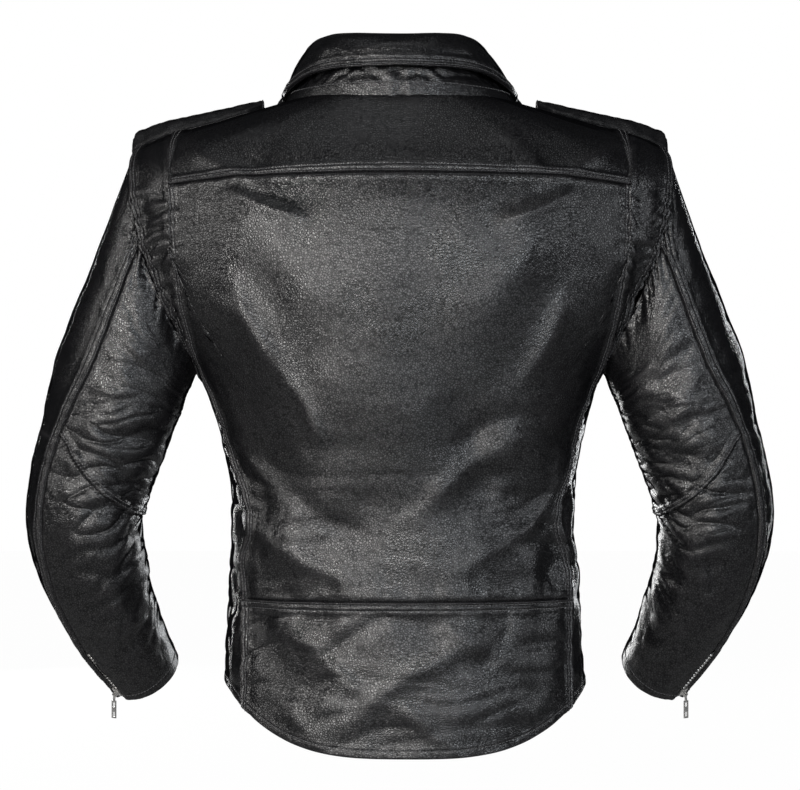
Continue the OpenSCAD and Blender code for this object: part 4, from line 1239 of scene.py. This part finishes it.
def elbow_share(psi, q):
    return np.clip((q - ELBOW_SHARE[0]) / (ELBOW_SHARE[1] - ELBOW_SHARE[0]), 0, 1)


def bend_by_share(piece, a, b, share):
    mesh = piece.data
    rest = np.empty(len(mesh.vertices) * 3, np.float32)
    mesh.vertices.foreach_get("co", rest)
    laid = np.zeros((len(mesh.vertices), 3), np.float32)
    laid[:, 0] = share
    mesh.vertices.foreach_set("co", laid.ravel())
    mesh.update()
    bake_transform(piece)
    mesh.vertices.foreach_set("co", rest)
    mesh.update()


def zip_gap(q):
    girth = np.interp(q, [0.84, 1.0], [0.98, 0.74])
    return smooth(q, 0.855, 0.875) * ZIP_GAP / girth


def sleeve_place(top):
    def place(u, v):
        seam = curve(OUTER_SEAM, sleeve_s(0 * v + 60, np.clip(v, 0, 1)))
        if top:
            return lerp(INNER_SEAM - 360, seam - zip_gap(v), u), v
        return lerp(seam + zip_gap(v), INNER_SEAM, u), v
    return place


def elbow_detail(a, b):
    d = (b - curve(ELBOW_LINE, a)) * SLEEVE_LENGTH
    lap = 2.0 * smooth(d, -15, -9) * (1 - smooth(d, -1.6, 0.4)) + 0.6 * bell(d, -1.6, 1.2)
    pucker = 0.9 * np.exp(-np.abs(d) / 14) * noise(a / 9, d / 40, 77.0)
    return lap - 0.6 * bell(d, -3.6, 1.0) - 0.6 * bell(d, -9, 1.0) - 1.2 * bell(d, 1.4, 1.2) + pucker


def grid_normals(p, sign_like):
    du = np.gradient(p, axis=0)
    dv = np.gradient(p, axis=1)
    n = unit(np.cross(du, dv))
    return n * np.sign((n * sign_like).sum(-1, keepdims=True) + 1e-9)


def halves(arm_name):
    """A sleeve's halves: name, range along the arm, share function and the two bodies it shares between."""
    bodies = ("torso", f"{arm_name}_upper_arm", f"{arm_name}_forearm")
    return ("upper", (0.0, SPLIT), shoulder_share, bodies[:2]), ("lower", (SPLIT, 1.0), elbow_share, bodies[1:])


def split_sleeve(arm_name, name, patch, nodes, finish="hide"):
    """Makes a sleeve panel in two halves that share a ring of points and, in leather, its shading."""
    mats, slot = FINISHES[finish]
    u, v = patch.grid()
    p, n = patch.point(u, v)
    shade = grid_normals(p, n)
    a, b = patch.place(u, v)
    cut = int(np.argmin(np.abs(b[len(b) // 2] - SPLIT)))
    spans = (slice(cut + 1), slice(cut, None))
    for (half, _, share_of, pair), cols, replaced in zip(halves(arm_name), spans, nodes):
        piece = sheet(f"{arm_name}_{half}_{name}", p[:, cols], n[:, cols], patch.thick, mats)
        if finish == "hide":
            shading = np.stack([shade[:, cols], -n[:, cols]]).reshape(-1, 3)
            piece.data.normals_split_custom_set_from_vertices(shading.tolist())
        bend_by_share(piece, *pair, np.tile(share_of(a[:, cols], b[:, cols]).ravel(), 2))
        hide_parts(*replaced)


def tube_relief(a, b):
    return 0.5 * noise(np.cos(np.radians(a)) * 2, np.sin(np.radians(a)) * 2, b * 14)


for name, side in SIDES:
    relief = lambda a, b, s=side: sleeve_relief(a, b, s)
    edges = (UNDER, OVER, UNDER, TURNED)
    top = Patch(sleeve_place(True), arm, relief, edges, seed=50.0 + side, flip=side < 0, step=3.2)
    under = Patch(sleeve_place(False), arm, relief, edges, seed=54.0 + side, flip=side < 0, step=2.8,
                  detail=elbow_detail, fine=(0.38, 0.64))
    tube = Patch(window(40.0, 400.0, 0.10, 0.984), arm, tube_relief, (PLAIN,) * 4, lift=-5.6, thick=0.8,
                 step=6.0, flip=side < 0)
    split_sleeve(name, "sleeve_top", top, ((f"{name}_upper_sleeve_top", f"{name}_sleeve_head"),
                                           (f"{name}_forearm_top",)))
    split_sleeve(name, "sleeve_under", under, ((f"{name}_upper_sleeve_under",), (f"{name}_forearm_under",)))
    split_sleeve(name, "sleeve_cloth", tube, ((f"{name}_upper_sleeve_lining",), (f"{name}_forearm_lining",)),
                 "cloth")
    for half, span, share_of, pair in halves(name):
        threads = Threads()
        for patch in (top, under):
            stitch(threads, patch, (RIGHT,), span=span, share_of=share_of)
        if half == "lower":
            for patch in (top, under):
                stitch(threads, patch, (TOP,), HEM_STITCH, share_of=share_of)
        for gap in STITCH_AT:
            a = np.linspace(60.0, 234.0, 200)
            b = curve(ELBOW_LINE, a) - gap / SLEEVE_LENGTH
            inside = (b >= span[0]) & (b < span[1])
            a, b = a[inside], b[inside]
            if len(a) > 4:
                seam = curve(OUTER_SEAM, b)
                p, n = under.point((a - seam) / (INNER_SEAM - seam), b, STITCH_RISE)
                threads.row(p, n, share_of(a, b))
        piece, share = threads.make(f"{name}_{half}_sleeve_stitches")
        bend_by_share(piece, *pair, share)

# ---- zips ----

TOOTH = [(-0.62, -1.0), (0.62, -1.0), (0.62, 0.6), (0.34, 1.0), (-0.34, 1.0), (-0.62, 0.6)]
TOOTH_LAYERS = ((-1.0, 0.75), (-0.75, 1.0), (0.75, 1.0), (1.0, 0.75))       # height and share of full size
TOOTH_PITCH = 2.0
TAPE_HALF = 9.0
WELT_RISE = 7.1
WELT_Y = (6.0, 13.0)
WELT_PAST = 7.0         # a welt runs this far past both ends of its zip


def zip_parts(name, f, rider, tape_node, teeth_node):
    """Interlocked teeth and a woven tape along a zip's frame."""
    run = f.length - 2
    n = int(run / TOOTH_PITCH)
    x = (np.arange(n) + 0.5) * run / n + 1
    row = np.where(np.arange(n) % 2 == 0, 1.0, -1.0)
    points = np.stack([f.at(x + dx * grow, row * (1.15 - 2.1 * dy * grow), z)
                       for z, grow in TOOTH_LAYERS for dx, dy in TOOTH], 1)
    faces = tube_faces(len(TOOTH_LAYERS), len(TOOTH), n)
    for part in faces:
        part[row > 0] = part[row > 0][:, :, ::-1]
    teeth = make_mesh(f"{name}_teeth_rows", points, faces, [NICKEL], smooth_shade=False)
    fit(teeth, "zip_metal", rider, teeth_node)
    us, vs = np.meshgrid(np.linspace(-TAPE_HALF, TAPE_HALF, 13),
                         np.linspace(0, f.length, max(8, int(f.length / 3))), indexing="ij")
    rise = -0.35 + 0.5 * bell(np.abs(us), 3.4, 0.8)
    out = np.broadcast_to(f.n, us.shape + (3,))
    tape = sheet(f"{name}_woven_tape", f.at(vs, us, rise), out, 0.5, (TAPE, TAPE))
    fit(tape, "zip_tape", rider, tape_node)


def welt_surface(f):
    return lambda a, b: f.at(b, a, WELT_RISE)


zip_parts("front_zip", FRONT_ZIP, "torso", "front_zip_tapes", "front_zip_teeth")
for name, f in (("left_pocket", LEFT_POCKET), ("right_pocket", RIGHT_POCKET), ("chest_pocket", CHEST)):
    zip_parts(name, f, "torso", "pocket_zip_tapes", "pocket_zip_teeth")
    for letter, y in (("b", (-WELT_Y[1], -WELT_Y[0])), ("a", WELT_Y)):
        if f is RIGHT_POCKET:       # its frame is a mirror image
            y = y[::-1]
        welt = Patch(window(*y, -WELT_PAST, f.length + WELT_PAST), welt_surface(f), soft_relief(8, 0.05, 0.25),
                     (FREE,) * 4, thick=2.0, step=2.4)
        panel(f"{name}_welt_{letter}", welt, "pocket_welts", "trim")
        stitch(front_threads, welt, (LEFT,), (3.5,))

LEFT_CUFF = ZipFrame(*[lifted(sleeve, float(curve(OUTER_SEAM, s)), s, -1.4) for s in (ZIP_START, 0.99)],
                     normal(sleeve, np.float64(curve(OUTER_SEAM, 0.93)), np.float64(0.93)))
for name, f in (("left", LEFT_CUFF), ("right", LEFT_CUFF.mirrored())):
    zip_parts(f"{name}_cuff", f, f"{name}_forearm", f"{name}_cuff_zip_tape", f"{name}_cuff_zip_teeth")

fit(back_threads.make("back_stitches")[0], "shell_leather", "torso")
fit(front_threads.make("front_and_collar_stitches")[0], "shell_leather", "torso")

# ---- hanger loop ----

CORD = 1.95
RING_STEPS, CORD_STEPS, TAIL_STEPS = 64, 16, 12
turn = np.arange(RING_STEPS)[:, None] * 2 * np.pi / RING_STEPS
around = np.arange(CORD_STEPS) * 2 * np.pi / CORD_STEPS
cord = CORD * (1 + 0.08 * np.sin(14 * turn + around))
reach = 11.0 + cord * np.cos(around)
ring_points = np.stack([reach * np.cos(turn), cord * np.sin(around), reach * np.sin(turn)], -1)
walls, _ = tube_faces(RING_STEPS, CORD_STEPS, loop=True)
fit(make_mesh("hanger_cord", ring_points, [walls], [TRIM]), "trim_leather", "torso", "hanger_loop")
for i, x in enumerate((-2.0, 2.0)):
    height = np.linspace(10.5, 24, TAIL_STEPS)[:, None]
    tail = np.stack(np.broadcast_arrays(x + CORD * np.cos(around), CORD * np.sin(around), height), -1)
    cord_tail = make_mesh(f"hanger_cord_tail_{i + 1}", tail, tube_faces(TAIL_STEPS, CORD_STEPS), [TRIM])
    fit(cord_tail, "trim_leather", "torso")

# ---- metal kept from the CAD ----

for node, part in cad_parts.items():
    if node.endswith(("_slider", "_pull", "_snap", "_snaps", "_studs")):
        part.data.materials.clear()
        part.data.materials.append(GUNMETAL if "epaulette" in node or "strap" in node else NICKEL)
        bevel = part.modifiers.new("soft edges", "BEVEL")
        bevel.width, bevel.segments, bevel.limit_method = 0.25 * MM, 2, "ANGLE"

# ---- stage, light and camera ----

def camera_sees(tree, lit, seen, share, target):
    """Shows the camera the seen shader, by share, and the lamps' light the lit one."""
    ray = add(tree, "ShaderNodeLightPath")["Is Camera Ray"]
    mix = add(tree, "ShaderNodeMixShader", ramp(tree, ray, 0.0, 1.0, 0.0, share), lit, seen)
    tree.links.new(mix["Shader"], target)


world = bpy.data.worlds.new("studio")
bpy.context.scene.world = world
world.use_nodes = True
tree = world.node_tree
tree.nodes.clear()
dim = add(tree, "ShaderNodeBackground", Color=(0.9, 0.94, 1.0, 1), Strength=0.03)["Background"]
white = add(tree, "ShaderNodeBackground", Color=(1, 1, 1, 1), Strength=1.0)["Background"]
camera_sees(tree, dim, white, 1.0, tree.nodes.new("ShaderNodeOutputWorld").inputs["Surface"])

floor_material, tree, shader = node_material("pale_floor")
fill(tree, shader, Base_Color=(0.35, 0.35, 0.35, 1), Roughness=0.8)
glow = add(tree, "ShaderNodeEmission", Strength=1.0)["Emission"]
camera_sees(tree, shader.outputs["BSDF"], glow, 0.985, tree.nodes["Material Output"].inputs["Surface"])
floor_mesh = bpy.data.meshes.new("floor")
floor_mesh.from_pydata([(-6, -6, 0), (6, -6, 0), (6, 6, 0), (-6, 6, 0)], [], [(0, 1, 2, 3)])
floor_mesh.materials.append(floor_material)
floor = bpy.data.objects.new("floor", floor_mesh)
floor.location = (0, 0, -0.80)
ROOT.objects.link(floor)


def soft_box(name, place, target, size, power, color):
    data = bpy.data.lights.new(name, "AREA")
    data.shape, data.size, data.size_y = "RECTANGLE", *size
    data.energy, data.color = power, color
    lamp = bpy.data.objects.new(name, data)
    ROOT.objects.link(lamp)
    lamp.location = place
    aim = np.subtract(target, place)
    lamp.rotation_euler = Vector(aim.tolist()).to_track_quat("-Z", "Y").to_euler()
    lamp.visible_camera = False


MIDDLE, LOW, UPPER, CHEST_HIGH = (0, 0, -0.3), (0, 0.1, -0.3), (0, 0, -0.1), (0, 0, -0.25)
WARM, EVEN, COOL = (1.0, 0.975, 0.95), (1.0, 0.99, 0.98), (0.90, 0.95, 1.0)
for lamp in (
        ("key_warm", (0.95, 2.45, 0.33), MIDDLE, (0.42, 1.3), 40, WARM),
        ("key_centre", (0.06, 2.9, 0.15), MIDDLE, (0.2, 1.15), 10, EVEN),
        ("key_cool", (-0.80, 2.55, 0.33), MIDDLE, (0.3, 1.1), 16, COOL),
        ("low_warm", (0.46, 1.3, -0.67), LOW, (0.2, 0.3), 1.3, WARM),
        ("low_centre", (0.03, 1.3, -0.67), LOW, (0.1, 0.3), 0.4, EVEN),
        ("low_cool", (-0.42, 1.3, -0.67), LOW, (0.2, 0.3), 0.8, COOL),
        ("side_warm", (2.3, 1.2, 0.35), CHEST_HIGH, (0.5, 1.4), 18, (1.0, 0.98, 0.96)),
        ("side_cool", (-2.2, 1.5, 0.3), CHEST_HIGH, (0.5, 1.3), 12, (0.93, 0.96, 1.0)),
        ("top", (0.1, 0.9, 2.1), UPPER, (1.5, 0.8), 5, (0.97, 0.985, 1.0)),
        ("front_key", (0.9, -2.2, -0.2), MIDDLE, (0.8, 1.0), 45, (1, 1, 1)),
        ("front_side", (-1.3, -2.0, -0.2), MIDDLE, (0.5, 1.0), 25, (0.96, 0.98, 1.0))):
    soft_box(*lamp)

lens = bpy.data.cameras.new("photo_view")
lens.sensor_width, lens.lens = 36.0, 117.0
camera = bpy.data.objects.new("photo_view", lens)
camera.location = (0.0, 2.6, -0.285)
camera.rotation_euler = (math.radians(90), 0, math.radians(180))
ROOT.objects.link(camera)
bpy.context.scene.camera = camera
bpy.context.scene.view_settings.view_transform = "Standard"
